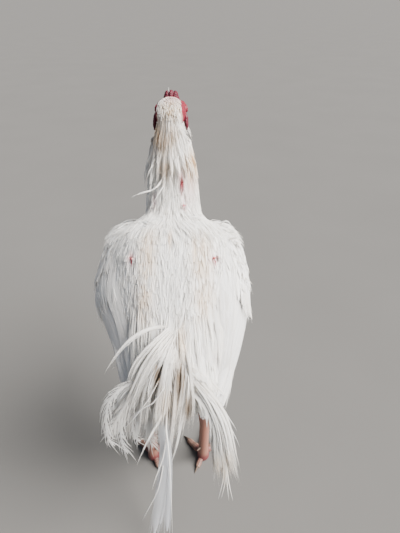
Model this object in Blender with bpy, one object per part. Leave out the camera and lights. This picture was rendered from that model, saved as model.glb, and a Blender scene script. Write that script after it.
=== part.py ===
"""A white aseel cock at life size, standing upright with a low, worn tail.

Metres, +Z up. The bird faces +Y, and its right side is +X. The feet stand on Z = 0.
"""

import math
import random

import bmesh
import bpy
import numpy as np
from mathutils import Matrix, Vector
from mathutils.bvhtree import BVHTree

# Clearance kept between touching pieces
GAP = 0.0003

# Driving sizes of the bird
BODY_HALF_WIDTH = 0.092
BODY_BACK = 0.078
BODY_BELLY = 0.088
RUMP = Vector((0.0, -0.105, 0.322))
SHOULDERS = Vector((0.0, 0.080, 0.466))
NECK_HALF_WIDTH = 0.041
HEAD_CENTRE = Vector((0.0, 0.080, 0.626))
HEAD_HALF_WIDTH = 0.0215
STANCE = 0.047
HOCK = Vector((0.050, -0.030, 0.140))
ANKLE = Vector((STANCE, 0.0, 0.018))
SHANK_RADIUS = 0.0088
TOE_RADIUS = 0.0068
EYE_RADIUS = 0.0058
WING_HALF_HEIGHT = 0.064
WING_THICKNESS = 0.026

RANDOM_SEED = 7

# Surface finishes: name, colour, roughness
FINISHES = {
    "feather": ((0.84, 0.82, 0.76), 0.75),
    "red_skin": ((0.52, 0.06, 0.07), 0.55),
    "horn": ((0.78, 0.70, 0.52), 0.40),
    "leg_scale": ((0.70, 0.40, 0.31), 0.55),
    "eye": ((0.80, 0.74, 0.58), 0.12),
}


def clear_scene():
    for old in list(bpy.data.objects):
        bpy.data.objects.remove(old, do_unlink=True)


def new_collection(name):
    made = bpy.data.collections.new(name)
    bpy.context.scene.collection.children.link(made)
    return made


def finish_material(name):
    """The named finish as a Principled material, made once."""
    found = bpy.data.materials.get(name)
    if found:
        return found
    colour, roughness = FINISHES[name]
    made = bpy.data.materials.new(name)
    made.use_nodes = True
    shader = made.node_tree.nodes["Principled BSDF"]
    shader.inputs["Base Color"].default_value = (*colour, 1.0)
    shader.inputs["Roughness"].default_value = roughness
    made.diffuse_color = (*colour, 1.0)
    return made


# Curves and sections


def smooth_rows(rows, count):
    """Rows of numbers resampled to count rows along a smooth curve through them all."""
    rows = np.array(rows, float)
    last = len(rows) - 1
    padded = np.vstack([2 * rows[0] - rows[1], rows, 2 * rows[-1] - rows[-2]])
    made = []
    for share in np.linspace(0, last, count):
        i = min(int(share), last - 1)
        t = share - i
        before, start, end, after = padded[i : i + 4]
        made.append(
            0.5
            * (
                2 * start
                + (end - before) * t
                + (2 * before - 5 * start + 4 * end - after) * t * t
                + (3 * start - before - 3 * end + after) * t**3
            )
        )
    return np.array(made)


def bow(root, first, second, tip, count):
    """Points along a cubic curve from root to tip, drawn towards two handles."""
    points = []
    for i in range(count):
        t = i / (count - 1)
        s = 1 - t
        points.append(
            root * s**3 + first * 3 * s * s * t + second * 3 * s * t * t + tip * t**3
        )
    return points


def directions(points):
    """The unit direction of a path at each of its points."""
    found = []
    for i in range(len(points)):
        before = points[max(i - 1, 0)]
        after = points[min(i + 1, len(points) - 1)]
        found.append((after - before).normalized())
    return found


def ring(centre, along, up, half_width, above, below, sides):
    """An oval section: half_width to each side, above towards up and below away from it."""
    across = along.cross(up).normalized()
    up = across.cross(along).normalized()
    points = []
    for i in range(sides):
        turn = 2 * math.pi * i / sides
        height = math.cos(turn)
        height *= above if height > 0 else below
        points.append(centre + across * (half_width * math.sin(turn)) + up * height)
    return points


class Oval:
    """A form with an oval section along a smooth path. A row is x, y, z, half width, above, below."""

    def __init__(self, rows, up, count=41):
        rows = smooth_rows(rows, count)
        centres = [Vector(row[:3]) for row in rows]
        self.sections = []
        for centre, along, row in zip(centres, directions(centres), rows):
            across = along.cross(up).normalized()
            sizes = [max(size, 0.0008) for size in row[3:]]
            self.sections.append((centre, along, across, across.cross(along), sizes))

    def section(self, share):
        """The section at a share of the path; past either end it runs on straight."""
        last = len(self.sections) - 1
        place = min(max(share, 0.0), 1.0) * last
        i = min(int(place), last - 1)
        t = place - i
        near, far = self.sections[i], self.sections[i + 1]
        centre, along, across, up = (near[k].lerp(far[k], t) for k in range(4))
        sizes = [a + (b - a) * t for a, b in zip(near[4], far[4])]
        length = (self.sections[-1][0] - self.sections[0][0]).length
        centre = centre + along.normalized() * (share - place / last) * length
        return centre, along.normalized(), across.normalized(), up.normalized(), sizes

    def place(self, share, turn, lift=0.0):
        """A point on the surface and its outward direction. Turn runs from the up side, in radians."""
        centre, _, across, up, (half, above, below) = self.section(share)
        height = above if math.cos(turn) > 0 else below
        outward = (across * (math.sin(turn) / half) + up * (math.cos(turn) / height)).normalized()
        point = centre + across * (half * math.sin(turn)) + up * (height * math.cos(turn))
        return point + outward * lift, outward

    def body(self, name, count, sides, start=0.0, end=1.0, grow=0.0):
        """The closed body, over part of its length if asked, grown or shrunk by a distance."""
        rings = []
        for share in np.linspace(start, end, count):
            rings.append([self.place(share, 2 * math.pi * i / sides, grow)[0] for i in range(sides)])
        return loft(name, rings)


# Mesh objects


def new_object(name, mesh):
    """A bmesh as an object, its faces turned outwards."""
    bmesh.ops.recalc_face_normals(mesh, faces=mesh.faces)
    data = bpy.data.meshes.new(name)
    mesh.to_mesh(data)
    mesh.free()
    made = bpy.data.objects.new(name, data)
    bpy.context.scene.collection.objects.link(made)
    return made


def loft(name, rings):
    """A closed body through rings of equally many points, with a fan at each end."""
    mesh = bmesh.new()
    loops = [[mesh.verts.new(point) for point in points] for points in rings]
    count = len(loops[0])
    for near, far in zip(loops, loops[1:]):
        for i in range(count):
            j = (i + 1) % count
            mesh.faces.new((near[i], near[j], far[j], far[i]))
    for loop in (loops[0], loops[-1]):
        middle = mesh.verts.new(sum((v.co for v in loop), Vector()) / count)
        for i in range(count):
            mesh.faces.new((loop[i], loop[(i + 1) % count], middle))
    return new_object(name, mesh)


def ball(name, centre, radii, segments=10, rings=6, turn=None):
    """An ellipsoid with its own half sizes, turned if asked."""
    mesh = bmesh.new()
    bmesh.ops.create_uvsphere(mesh, u_segments=segments, v_segments=rings, radius=1.0)
    place = Matrix.Translation(centre)
    if turn is not None:
        place = place @ turn.to_matrix().to_4x4()
    place = place @ Matrix.Diagonal((*radii, 1.0))
    bmesh.ops.transform(mesh, matrix=place, verts=mesh.verts)
    return new_object(name, mesh)


def band(name, centre, normal, radius, thickness, stretch=1.0, around=14, sides=5):
    """A closed ring of round section, such as an eyelid, facing along normal."""
    turn = normal.to_track_quat("Z", "Y")
    mesh = bmesh.new()
    loops = []
    for i in range(around):
        a = 2 * math.pi * i / around
        out = Vector((math.cos(a), math.sin(a), 0))
        loop = []
        for k in range(sides):
            b = 2 * math.pi * k / sides
            point = out * (radius + thickness * math.cos(b)) + Vector((0, 0, thickness * math.sin(b)))
            point.y *= stretch
            loop.append(mesh.verts.new(centre + turn @ point))
        loops.append(loop)
    for i in range(around):
        near, far = loops[i], loops[(i + 1) % around]
        for k in range(sides):
            m = (k + 1) % sides
            mesh.faces.new((near[k], near[m], far[m], far[k]))
    return new_object(name, mesh)


def vane(path, ups, half_widths, thickness, ridge=0.0):
    """A feather as a thin closed blade, split alike on both faces. A ridge raises its mid line."""
    columns = (-1, 0, 1) if ridge else (-1, 1)
    mesh = bmesh.new()
    loops = []
    for point, along, up, half in zip(path, directions(path), ups, half_widths):
        across = along.cross(up).normalized()
        up = across.cross(along).normalized()
        top, bottom = [], []
        for column in columns:
            middle = point + across * (half * column) + up * (0.0 if column else ridge)
            top.append(mesh.verts.new(middle + up * (thickness / 2)))
            bottom.append(mesh.verts.new(middle - up * (thickness / 2)))
        loops.append((top, bottom))
    last = len(columns) - 1
    for near, far in zip(loops, loops[1:]):
        for k in range(last):
            for face in (0, 1):
                mesh.faces.new((near[face][k], near[face][k + 1], far[face][k + 1]))
                mesh.faces.new((near[face][k], far[face][k + 1], far[face][k]))
        for k in (0, last):
            mesh.faces.new((near[0][k], far[0][k], far[1][k], near[1][k]))
    for top, bottom in (loops[0], loops[-1]):
        for k in range(last):
            mesh.faces.new((top[k], top[k + 1], bottom[k + 1], bottom[k]))
    return new_object("vane", mesh)


def surface_of(*objects):
    """A lookup for the nearest place on one or more bodies."""
    points, faces = [], []
    for obj in objects:
        first = len(points)
        points += [vert.co.copy() for vert in obj.data.vertices]
        faces += [[first + i for i in face.vertices] for face in obj.data.polygons]
    return BVHTree.FromPolygons(points, faces)


def pushed_out(point, surface, clearance):
    """The point, moved to at least the clearance outside a surface."""
    place, outward, _, _ = surface.find_nearest(point)
    depth = (point - place).dot(outward)
    if depth < clearance:
        return place + outward * clearance
    return point


def sunk(point, surface, depth):
    """The nearest place under a surface, at the depth that holds a root."""
    place, outward, _, _ = surface.find_nearest(point)
    return place - outward * depth


def applied(obj):
    """Replaces the object's mesh with its evaluated one, and drops its modifiers."""
    graph = bpy.context.evaluated_depsgraph_get()
    graph.update()
    made = bpy.data.meshes.new_from_object(obj.evaluated_get(graph))
    obj.modifiers.clear()
    old = obj.data
    obj.data = made
    bpy.data.meshes.remove(old)
    return obj


def keep_largest(obj):
    """Leaves only the closed surface that holds the most, which drops scraps and inner skins."""
    mesh = bmesh.new()
    mesh.from_mesh(obj.data)
    left = set(mesh.verts)
    groups = []
    while left:
        start = left.pop()
        group, queue = {start}, [start]
        while queue:
            for edge in queue.pop().link_edges:
                for vert in edge.verts:
                    if vert in left:
                        left.discard(vert)
                        group.add(vert)
                        queue.append(vert)
        groups.append(group)

    def volume(group):
        faces = {face for vert in group for face in vert.link_faces}
        total = 0.0
        for face in faces:
            first = face.verts[0].co
            for second, third in zip(face.verts[1:], face.verts[2:]):
                total += first.dot(second.co.cross(third.co))
        return total

    best = max(groups, key=volume)
    drop = [vert for group in groups if group is not best for vert in group]
    bmesh.ops.delete(mesh, geom=drop, context="VERTS")
    mesh.to_mesh(obj.data)
    mesh.free()
    return obj


def swollen(obj, amount=GAP):
    """A copy of the object, grown along its normals, for cutting a neighbour clear of it."""
    mesh = bmesh.new()
    mesh.from_mesh(obj.data)
    mesh.normal_update()
    moves = [(vert, vert.normal * amount) for vert in mesh.verts]
    for vert, move in moves:
        vert.co += move
    return new_object(obj.name + "_clearance", mesh)


def cut(obj, cutters, solver="MANIFOLD"):
    """Takes the cutters out of the object, and removes them."""
    for cutter in cutters:
        step = obj.modifiers.new("cut", "BOOLEAN")
        step.operation = "DIFFERENCE"
        step.solver = solver
        step.object = cutter
        applied(obj)
        bpy.data.objects.remove(cutter, do_unlink=True)
    return keep_largest(obj)


def cut_clear_of(obj, neighbours, gap=GAP):
    """Cuts the object clear of each neighbour by the gap."""
    return cut(obj, [swollen(neighbour, gap) for neighbour in neighbours])


def fuse(name, pieces, solver="MANIFOLD"):
    """One closed body from pieces that overlap."""
    body = pieces[0]
    body.name = name
    if len(pieces) > 1:
        group = bpy.data.collections.new(name + "_pieces")
        bpy.context.scene.collection.children.link(group)
        for piece in pieces[1:]:
            bpy.context.scene.collection.objects.unlink(piece)
            group.objects.link(piece)
        step = body.modifiers.new("join", "BOOLEAN")
        step.operation = "UNION"
        step.solver = solver
        step.operand_type = "COLLECTION"
        step.collection = group
        applied(body)
        for piece in list(group.objects):
            bpy.data.objects.remove(piece, do_unlink=True)
        bpy.data.collections.remove(group)
    return keep_largest(body)


def mirrored(name, obj):
    """The same body on the other side of the bird."""
    mesh = bmesh.new()
    mesh.from_mesh(obj.data)
    bmesh.ops.transform(mesh, matrix=Matrix.Scale(-1, 4, (1, 0, 0)), verts=mesh.verts)
    bmesh.ops.reverse_faces(mesh, faces=mesh.faces)
    return new_object(name, mesh)


def flipped(obj):
    """The body moved over to the other side of the bird under its own name."""
    name = obj.name
    made = mirrored("flipped", obj)
    bpy.data.objects.remove(obj, do_unlink=True)
    made.name = name
    return made


def finished(obj, finish):
    """Gives a node its material and shading."""
    obj.data.materials.clear()
    obj.data.materials.append(finish_material(finish))
    obj.data.shade_smooth()
    obj.data.set_sharp_from_angle(angle=math.radians(40))
    return obj


# Torso


def torso_rows():
    """The trunk from the rump up to the shoulders: shares of the body's driving sizes."""
    shares = [
        (-0.06, 0.10, 0.08, 0.08),
        (0.00, 0.28, 0.30, 0.26),
        (0.14, 0.56, 0.58, 0.56),
        (0.30, 0.82, 0.82, 0.86),
        (0.47, 0.97, 0.97, 1.00),
        (0.63, 1.00, 1.00, 1.02),
        (0.78, 0.92, 0.88, 0.94),
        (0.90, 0.72, 0.66, 0.74),
        (0.99, 0.42, 0.40, 0.46),
        (1.04, 0.14, 0.14, 0.16),
    ]
    rows = []
    for share, width, back, belly in shares:
        centre = RUMP.lerp(SHOULDERS, share)
        rows.append(
            (*centre, width * BODY_HALF_WIDTH, back * BODY_BACK, belly * BODY_BELLY)
        )
    return rows


TORSO_UP = Vector((0, -0.6, 0.8))
SADDLE_ROWS = ((0.56, 5, 0.26), (0.44, 6, 0.26), (0.33, 5, 0.21))
SADDLE_SPREAD = math.radians(50)
SADDLE_HALF_WIDTH = 0.0098
VANE = 0.0007
WING_CLEARANCE = 0.0045


def torso_form():
    return Oval(torso_rows(), TORSO_UP)


def saddle(form, wings):
    """The pointed saddle feathers that fall over the rump, clear of the wings."""
    made = []
    for row, (start, count, length) in enumerate(SADDLE_ROWS):
        for i in range(count):
            turn = SADDLE_SPREAD * (2 * i / (count - 1) - 1) + random.uniform(-0.05, 0.05)
            reach = length * random.uniform(0.9, 1.1)
            path, ups = [], []
            for share, lift in ((0.0, -0.0018), (0.3, 0.0012), (0.65, 0.0026), (1.0, 0.0040)):
                spot = start - reach * share
                point, outward = form.place(spot, turn * (1 + 0.25 * share), lift + 0.0004 * (i % 2))
                for wing in wings if share else ():
                    point = pushed_out(point, wing, WING_CLEARANCE)
                path.append(point)
                ups.append(outward)
            half = SADDLE_HALF_WIDTH * random.uniform(0.9, 1.1)
            made.append(vane(path, ups, [half * 0.7, half, half * 0.8, half * 0.12], VANE))
    return made


# Neck


def neck_rows():
    """The neck from inside the shoulders up into the head. Its up side is the nape."""
    low, high = SHOULDERS, HEAD_CENTRE
    shares = [
        (0.062, 0.425, 1.28, 1.10, 1.00),
        (0.068, 0.462, 1.22, 1.05, 1.04),
        (0.074, 0.495, 1.06, 0.94, 0.98),
        (0.080, 0.530, 0.93, 0.80, 0.84),
        (0.082, 0.562, 0.78, 0.70, 0.72),
        (0.081, 0.586, 0.62, 0.62, 0.60),
        (0.079, 0.603, 0.50, 0.56, 0.46),
        (0.077, 0.618, 0.36, 0.42, 0.32),
    ]
    return [
        (0.0, y, z, *(share * NECK_HALF_WIDTH for share in widths))
        for y, z, *widths in shares
    ]


HACKLE_DEPTH = 0.0035
HACKLE_ROWS = ((0.92, 5, 0.21), (0.77, 6, 0.25), (0.61, 7, 0.28), (0.46, 7, 0.28), (0.32, 7, 0.28))
HACKLE_HALF_WIDTH = 0.0110


def neck_form():
    return Oval(neck_rows(), Vector((0, -1, 0)))


def hackles(form, torso, wings):
    """Rows of pointed neck feathers, each row over the next, the lowest lying on the shoulders."""
    made = []
    for row, (start, count, length) in enumerate(HACKLE_ROWS):
        for i in range(count):
            turn = 2 * math.pi * (i + 0.5 * (row % 2)) / count + random.uniform(-0.08, 0.08)
            reach = length * random.uniform(0.9, 1.1)
            sway = random.uniform(-0.10, 0.10)
            path, ups = [], []
            for share, lift in (
                (0.0, -HACKLE_DEPTH - 0.0015), (0.3, -HACKLE_DEPTH * 0.4), (0.65, -0.0004), (1.0, 0.0014)
            ):
                point, outward = form.place(start - reach * share, turn + sway * share, lift)
                if share:
                    point = pushed_out(point, torso, 0.0016)
                    for wing in wings:
                        point = pushed_out(point, wing, WING_CLEARANCE)
                path.append(point)
                ups.append(outward)
            half = HACKLE_HALF_WIDTH * random.uniform(0.9, 1.1) * (0.75 + 0.1 * row)
            made.append(vane(path, ups, [half * 0.7, half, half * 0.8, half * 0.12], VANE))
    return made


# Head


def head_point(side, forward, up):
    """A place on the head, measured from its centre."""
    return HEAD_CENTRE + Vector((side, forward, up))


def head_form():
    """The skull and face, from the back of the head to the root of the bill."""
    shares = [
        (-0.0320, 0.0020, 0.20, 0.18, 0.20),
        (-0.0285, 0.0020, 0.62, 0.55, 0.62),
        (-0.0180, 0.0015, 0.93, 0.92, 1.00),
        (-0.0040, 0.0010, 1.00, 1.03, 1.10),
        (0.0120, 0.0000, 0.97, 0.98, 1.02),
        (0.0240, -0.0010, 0.82, 0.80, 0.84),
        (0.0340, -0.0030, 0.64, 0.58, 0.62),
        (0.0420, -0.0050, 0.52, 0.44, 0.47),
    ]
    rows = [
        (*head_point(0, forward, up), *(s * HEAD_HALF_WIDTH for s in sizes))
        for forward, up, *sizes in shares
    ]
    return Oval(rows, Vector((0, 0, 1))).body("head", 13, 14)


EYE_PLACE = (0.0172, 0.0150, 0.0035)
EAR_PLACE = (0.0205, -0.0080, -0.0030)


def eye_centre(side):
    across, forward, up = EYE_PLACE
    return head_point(side * across, forward, up)


def eye_outward(side):
    return Vector((side * 0.93, 0.34, 0.12)).normalized()


def head_node():
    """Skull with brows, eyelids and ear cups, its eye sockets and the corner of the mouth cut in."""
    pieces = [head_form()]
    for side in (-1, 1):
        centre, outward = eye_centre(side), eye_outward(side)
        rim = centre + outward * 0.0034
        pieces.append(band("lid", rim, outward, 0.0058, 0.0012, 0.86, 12, 4))
        brow = head_point(side * 0.0158, 0.0130, 0.0125)
        turn = Vector((side * 0.25, 1.0, -0.18)).to_track_quat("X", "Z")
        pieces.append(ball("brow", brow, (0.0135, 0.0052, 0.0042), 8, 6, turn))
        ear = head_point(side * EAR_PLACE[0], EAR_PLACE[1], EAR_PLACE[2])
        pieces.append(band("ear", ear, Vector((side, -0.1, -0.1)), 0.0042, 0.0014, 1.15, 10, 4))
    head = fuse("head", pieces)
    cutters = []
    for side in (-1, 1):
        socket = eye_centre(side)
        cutters.append(ball("socket", socket, [EYE_RADIUS + GAP] * 3, 12, 8))
        ear = head_point(side * (EAR_PLACE[0] + 0.0012), EAR_PLACE[1], EAR_PLACE[2])
        cutters.append(ball("ear_cup", ear, (0.0030, 0.0034, 0.0038), 8, 5))
        corner = head_point(side * 0.0125, 0.0340, -0.0085)
        turn = Vector((side * -0.35, 1.0, 0.10)).to_track_quat("X", "Z")
        cutters.append(ball("gape", corner, (0.0100, 0.0030, 0.0007), 8, 4, turn))
    return cut(head, cutters)


def eye_node(side, name):
    return ball(name, eye_centre(side), [EYE_RADIUS] * 3, 12, 8)


def bill_rows(shares):
    return [(*head_point(0, forward, up), *sizes) for forward, up, *sizes in shares]


def upper_bill():
    """A short, deep, hooked upper bill with two nostrils."""
    shares = [
        (0.0424, -0.0030, 0.0098, 0.0080, 0.0048),
        (0.0480, -0.0036, 0.0088, 0.0076, 0.0043),
        (0.0540, -0.0050, 0.0074, 0.0068, 0.0036),
        (0.0600, -0.0078, 0.0058, 0.0058, 0.0030),
        (0.0645, -0.0118, 0.0040, 0.0046, 0.0026),
        (0.0668, -0.0160, 0.0022, 0.0030, 0.0022),
        (0.0672, -0.0190, 0.0009, 0.0012, 0.0012),
    ]
    bill = Oval(bill_rows(shares), Vector((0, 0.2, 1))).body("bill_upper", 10, 10)
    nostrils = []
    for side in (-1, 1):
        place = head_point(side * 0.0085, 0.0495, 0.0000)
        turn = Vector((0, 1, -0.35)).to_track_quat("X", "Z")
        nostrils.append(ball("nostril", place, (0.0022, 0.0016, 0.0011), 8, 4, turn))
    return cut(bill, nostrils)


def lower_bill():
    shares = [
        (0.0424, -0.0118, 0.0084, 0.0028, 0.0046),
        (0.0480, -0.0122, 0.0072, 0.0024, 0.0042),
        (0.0540, -0.0134, 0.0056, 0.0019, 0.0036),
        (0.0590, -0.0152, 0.0038, 0.0014, 0.0028),
        (0.0622, -0.0168, 0.0018, 0.0009, 0.0014),
    ]
    return Oval(bill_rows(shares), Vector((0, 0, 1))).body("bill_lower", 7, 8)


def comb_node(head):
    """A small comb of three low rows of bulbs, highest in the middle."""
    pieces = []
    for row, (offset, height, bulbs) in enumerate(
        ((0.0, 0.0062, 5), (-0.0058, 0.0040, 4), (0.0058, 0.0040, 4))
    ):
        for i in range(bulbs):
            share = i / (bulbs - 1)
            forward = 0.0060 + 0.0290 * share + (0.0015 if row else 0.0)
            lift = 0.0195 - 0.0300 * max(share - 0.25, 0.0) ** 1.6
            radius = 0.0040 + 0.0012 * math.sin(math.pi * share)
            place = head_point(offset, forward, lift + 0.35 * height)
            pieces.append(
                ball("bulb", place, (radius * 0.92, radius * 1.15, radius + height * 0.5), 7, 5)
            )
    return cut_clear_of(fuse("comb", pieces), [head])


def face_lobe(name, side, head, neck):
    """The red ear lobe, a flat fold that hangs below and behind the ear."""
    top = head_point(side * 0.0212, -0.0110, -0.0090)
    rows = [
        (*(top + Vector((0, 0, 0.006))), 0.0010, 0.0020, 0.0020),
        (*(top + Vector((side * 0.0012, 0, 0.001))), 0.0026, 0.0050, 0.0050),
        (*(top + Vector((side * 0.0022, -0.001, -0.007))), 0.0030, 0.0062, 0.0058),
        (*(top + Vector((side * 0.0026, -0.002, -0.014))), 0.0026, 0.0050, 0.0048),
        (*(top + Vector((side * 0.0020, -0.003, -0.020))), 0.0010, 0.0018, 0.0018),
    ]
    lobe = Oval(rows, Vector((0, 1, 0))).body(name, 7, 8)
    return cut_clear_of(lobe, [head, neck])


def wattle(name, side, head, neck, bill):
    """A small wattle below the corner of the mouth."""
    top = head_point(side * 0.0075, 0.0280, -0.0140)
    rows = [
        (*(top + Vector((0, 0, 0.004))), 0.0014, 0.0030, 0.0030),
        (*(top + Vector((side * 0.001, 0.000, -0.002))), 0.0030, 0.0062, 0.0060),
        (*(top + Vector((side * 0.002, -0.001, -0.009))), 0.0030, 0.0066, 0.0066),
        (*(top + Vector((side * 0.002, -0.002, -0.015))), 0.0022, 0.0048, 0.0048),
        (*(top + Vector((side * 0.002, -0.002, -0.019))), 0.0010, 0.0018, 0.0018),
    ]
    made = Oval(rows, Vector((0, 1, 0))).body(name, 7, 8)
    return cut_clear_of(made, [head, neck, bill])


# Wings, modelled on the right side


def wing_rows():
    """Mid line of the folded wing: x, y, z, half height shares and thickness shares."""
    return [
        (0.060, 0.0850, 0.4520, 0.16, 0.25),
        (0.071, 0.0760, 0.4420, 0.52, 0.62),
        (0.081, 0.0540, 0.4240, 0.86, 0.92),
        (0.0865, 0.0240, 0.4010, 1.00, 1.00),
        (0.0890, -0.0080, 0.3740, 1.02, 1.00),
        (0.0870, -0.0400, 0.3440, 0.90, 0.84),
        (0.0820, -0.0690, 0.3110, 0.66, 0.58),
        (0.0750, -0.0900, 0.2800, 0.40, 0.34),
        (0.0690, -0.1020, 0.2580, 0.12, 0.14),
    ]


WING_WRAP = 0.026
WING_DOWN = Vector((0, 0.62, -0.78))
# The left wing's tip is held closer to the body, from half its length on
LEFT_TUCK = 0.0150


WING_CORE_END = 0.74
WING_CORE_HEIGHT = 0.85

# Tiers of wing feathers: start along the wing, reach, how many, half width, spread
WING_TIERS = {
    "lesser_coverts": (0.06, 0.17, 3, 0.0160, 0.56),
    "lower_lesser_coverts": (0.15, 0.18, 4, 0.0150, 0.72),
    "median_coverts": (0.25, 0.20, 5, 0.0135, 0.82),
    "greater_coverts": (0.36, 0.24, 6, 0.0120, 0.86),
    "secondaries": (0.50, 0.37, 6, 0.0112, 0.82),
    "primaries": (0.60, 0.43, 4, 0.0068, 0.66),
}


def wing_row(share, tuck):
    """One row of the mid line, drawn in towards the body by up to the tuck near the tip."""
    rows = wing_row.rows
    spot = min(max(share, 0.0), 1.0) * (len(rows) - 1)
    i = min(int(spot), len(rows) - 2)
    row = rows[i] + (rows[i + 1] - rows[i]) * (spot - i)
    drawn = min(max((share - 0.48) / 0.26, 0.0), 1.0)
    row[0] -= tuck * drawn * drawn * (3 - 2 * drawn)
    return row


def wing_place(share, offset, lift=0.0, tuck=0.0):
    """A place on the outer face of the folded wing, and its outward direction.

    Share runs from the shoulder to the tip, and offset from -1 at the upper edge to 1 at the lower.
    """
    x, y, z, height, thick = wing_row(share, tuck)
    beyond = Vector((-0.02, -0.07, -0.16)) * max(share - 1.0, 0.0)
    round_off = math.sqrt(max(1 - offset * offset, 0.0))
    out = thick * WING_THICKNESS * round_off - WING_WRAP * height * offset**2
    point = Vector((x + out, y, z)) + WING_DOWN * (height * WING_HALF_HEIGHT * offset) + beyond
    outward = Vector((1.0, 0.0, 0.0)) + WING_DOWN * (0.95 * offset)
    outward.normalize()
    return point + outward * lift, outward


wing_row.rows = smooth_rows(wing_rows(), 41)


def wing_form(name, tuck):
    """The whole folded wing as one smooth form out to its tips."""
    return loft(name, wing_rings(0.0, 1.0, 14, 12, 1.0, tuck))


def wing_core(name, tuck):
    """The arm and hand of the wing under its feathers."""
    return loft(name, wing_rings(0.0, WING_CORE_END - 0.01, 9, 12, WING_CORE_HEIGHT, tuck, WING_CORE_END))


def wing_rings(start, end, count, sides, tall, tuck, fade_end=None):
    """Crescent sections bent round the trunk, which shrink to nothing at fade_end."""
    rings = []
    for share in np.linspace(start, end, count):
        x, y, z, height, thick = wing_row(share, tuck)
        fade = math.sqrt(max(1 - (share / fade_end) ** 6, 0.0)) if fade_end else 1.0
        height *= fade * tall
        points = []
        for k in range(sides):
            turn = 2 * math.pi * k / sides
            offset = math.sin(turn)
            out = fade * thick * WING_THICKNESS * math.cos(turn) - WING_WRAP * height * offset**2
            down = WING_DOWN * (height * WING_HALF_HEIGHT * offset)
            points.append(Vector((x + out, y, z)) + down)
        rings.append(points)
    return rings


def wing_feathers(core, torso, tuck):
    """Coverts in tiers, then secondaries and primaries, each tier over the next."""
    arm = surface_of(core)
    made = []
    for tier, (start, reach, count, half_width, spread) in WING_TIERS.items():
        long = tier in ("secondaries", "primaries")
        steps = 5 if long else 3
        for i in range(count):
            side = 2 * i / (count - 1) - 1
            first = side * spread * 0.62
            last = side * spread + (0.20 if tier == "primaries" else 0.05)
            length = reach * random.uniform(0.94, 1.06) * (1 - 0.10 * abs(side))
            path, ups = [], []
            for k in range(steps):
                share = k / (steps - 1)
                offset = first + (last - first) * share**0.8
                point, outward = wing_place(start + length * share, offset, 0.0002 + 0.0034 * share, tuck)
                if k == 0:
                    point = sunk(point, arm, 0.0018)
                else:
                    point = pushed_out(point, torso, 0.0012)
                path.append(point)
                along = Vector((0, -0.6, -0.75))
                ups.append((outward + along.cross(outward) * 0.085).normalized())
            half = half_width * random.uniform(0.95, 1.05)
            widths = [0.72, 1.0, 0.96, 0.80, 0.20] if long else [0.75, 1.0, 0.35]
            made.append(vane(path, ups, [half * share for share in widths], VANE))
    return made


# Tail


TAIL_ROOT = Vector((0.0, -0.112, 0.318))

# Worn tail feathers: root across, tip (x, y, z), half width, how far the mid line bows outwards, layer
TAIL_FEATHERS = {
    "curl_under": (-0.006, (-0.040, -0.146, 0.165), 0.0100, 0.012, 0),
    "curl_middle": (-0.010, (-0.069, -0.147, 0.184), 0.0115, 0.024, 1),
    "curl_inner": (-0.008, (-0.056, -0.152, 0.214), 0.0100, 0.014, 2),
    "curl_outer": (-0.011, (-0.092, -0.142, 0.246), 0.0105, 0.018, 3),
    "sweep_short": (0.006, (0.052, -0.146, 0.168), 0.0100, 0.006, 0),
    "sweep_outer": (0.011, (0.096, -0.142, 0.150), 0.0070, 0.014, 1),
    "sweep_inner": (0.007, (0.070, -0.148, 0.102), 0.0090, 0.008, 2),
    "sweep_long": (0.009, (0.082, -0.150, 0.080), 0.0080, 0.012, 3),
    "blade_left": (-0.005, (-0.031, -0.176, 0.074), 0.0125, 0.004, 4),
    "blade_right": (0.000, (-0.013, -0.182, 0.056), 0.0130, 0.002, 5),
    "straight_left": (-0.007, (-0.052, -0.176, 0.204), 0.0065, 0.000, 6),
    "straight_middle": (0.003, (-0.001, -0.176, 0.188), 0.0070, 0.000, 6),
    "thin_sickle": (-0.003, (-0.085, -0.134, 0.322), 0.0030, 0.020, 7),
}
TAIL_LAYER = 0.0013
TAIL_COVERTS = 6
TAIL_COVERT_LENGTH = 0.075


def tail_core():
    """The fleshy end that the tail grows from."""
    rows = [
        (0.0, -0.100, 0.334, 0.014, 0.012, 0.012),
        (0.0, -0.110, 0.320, 0.020, 0.015, 0.014),
        (0.0, -0.120, 0.302, 0.021, 0.014, 0.013),
        (0.0, -0.127, 0.284, 0.015, 0.010, 0.009),
        (0.0, -0.131, 0.270, 0.004, 0.003, 0.003),
    ]
    return Oval(rows, Vector((0, -1, 0))).body("tail", 9, 12)


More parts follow.
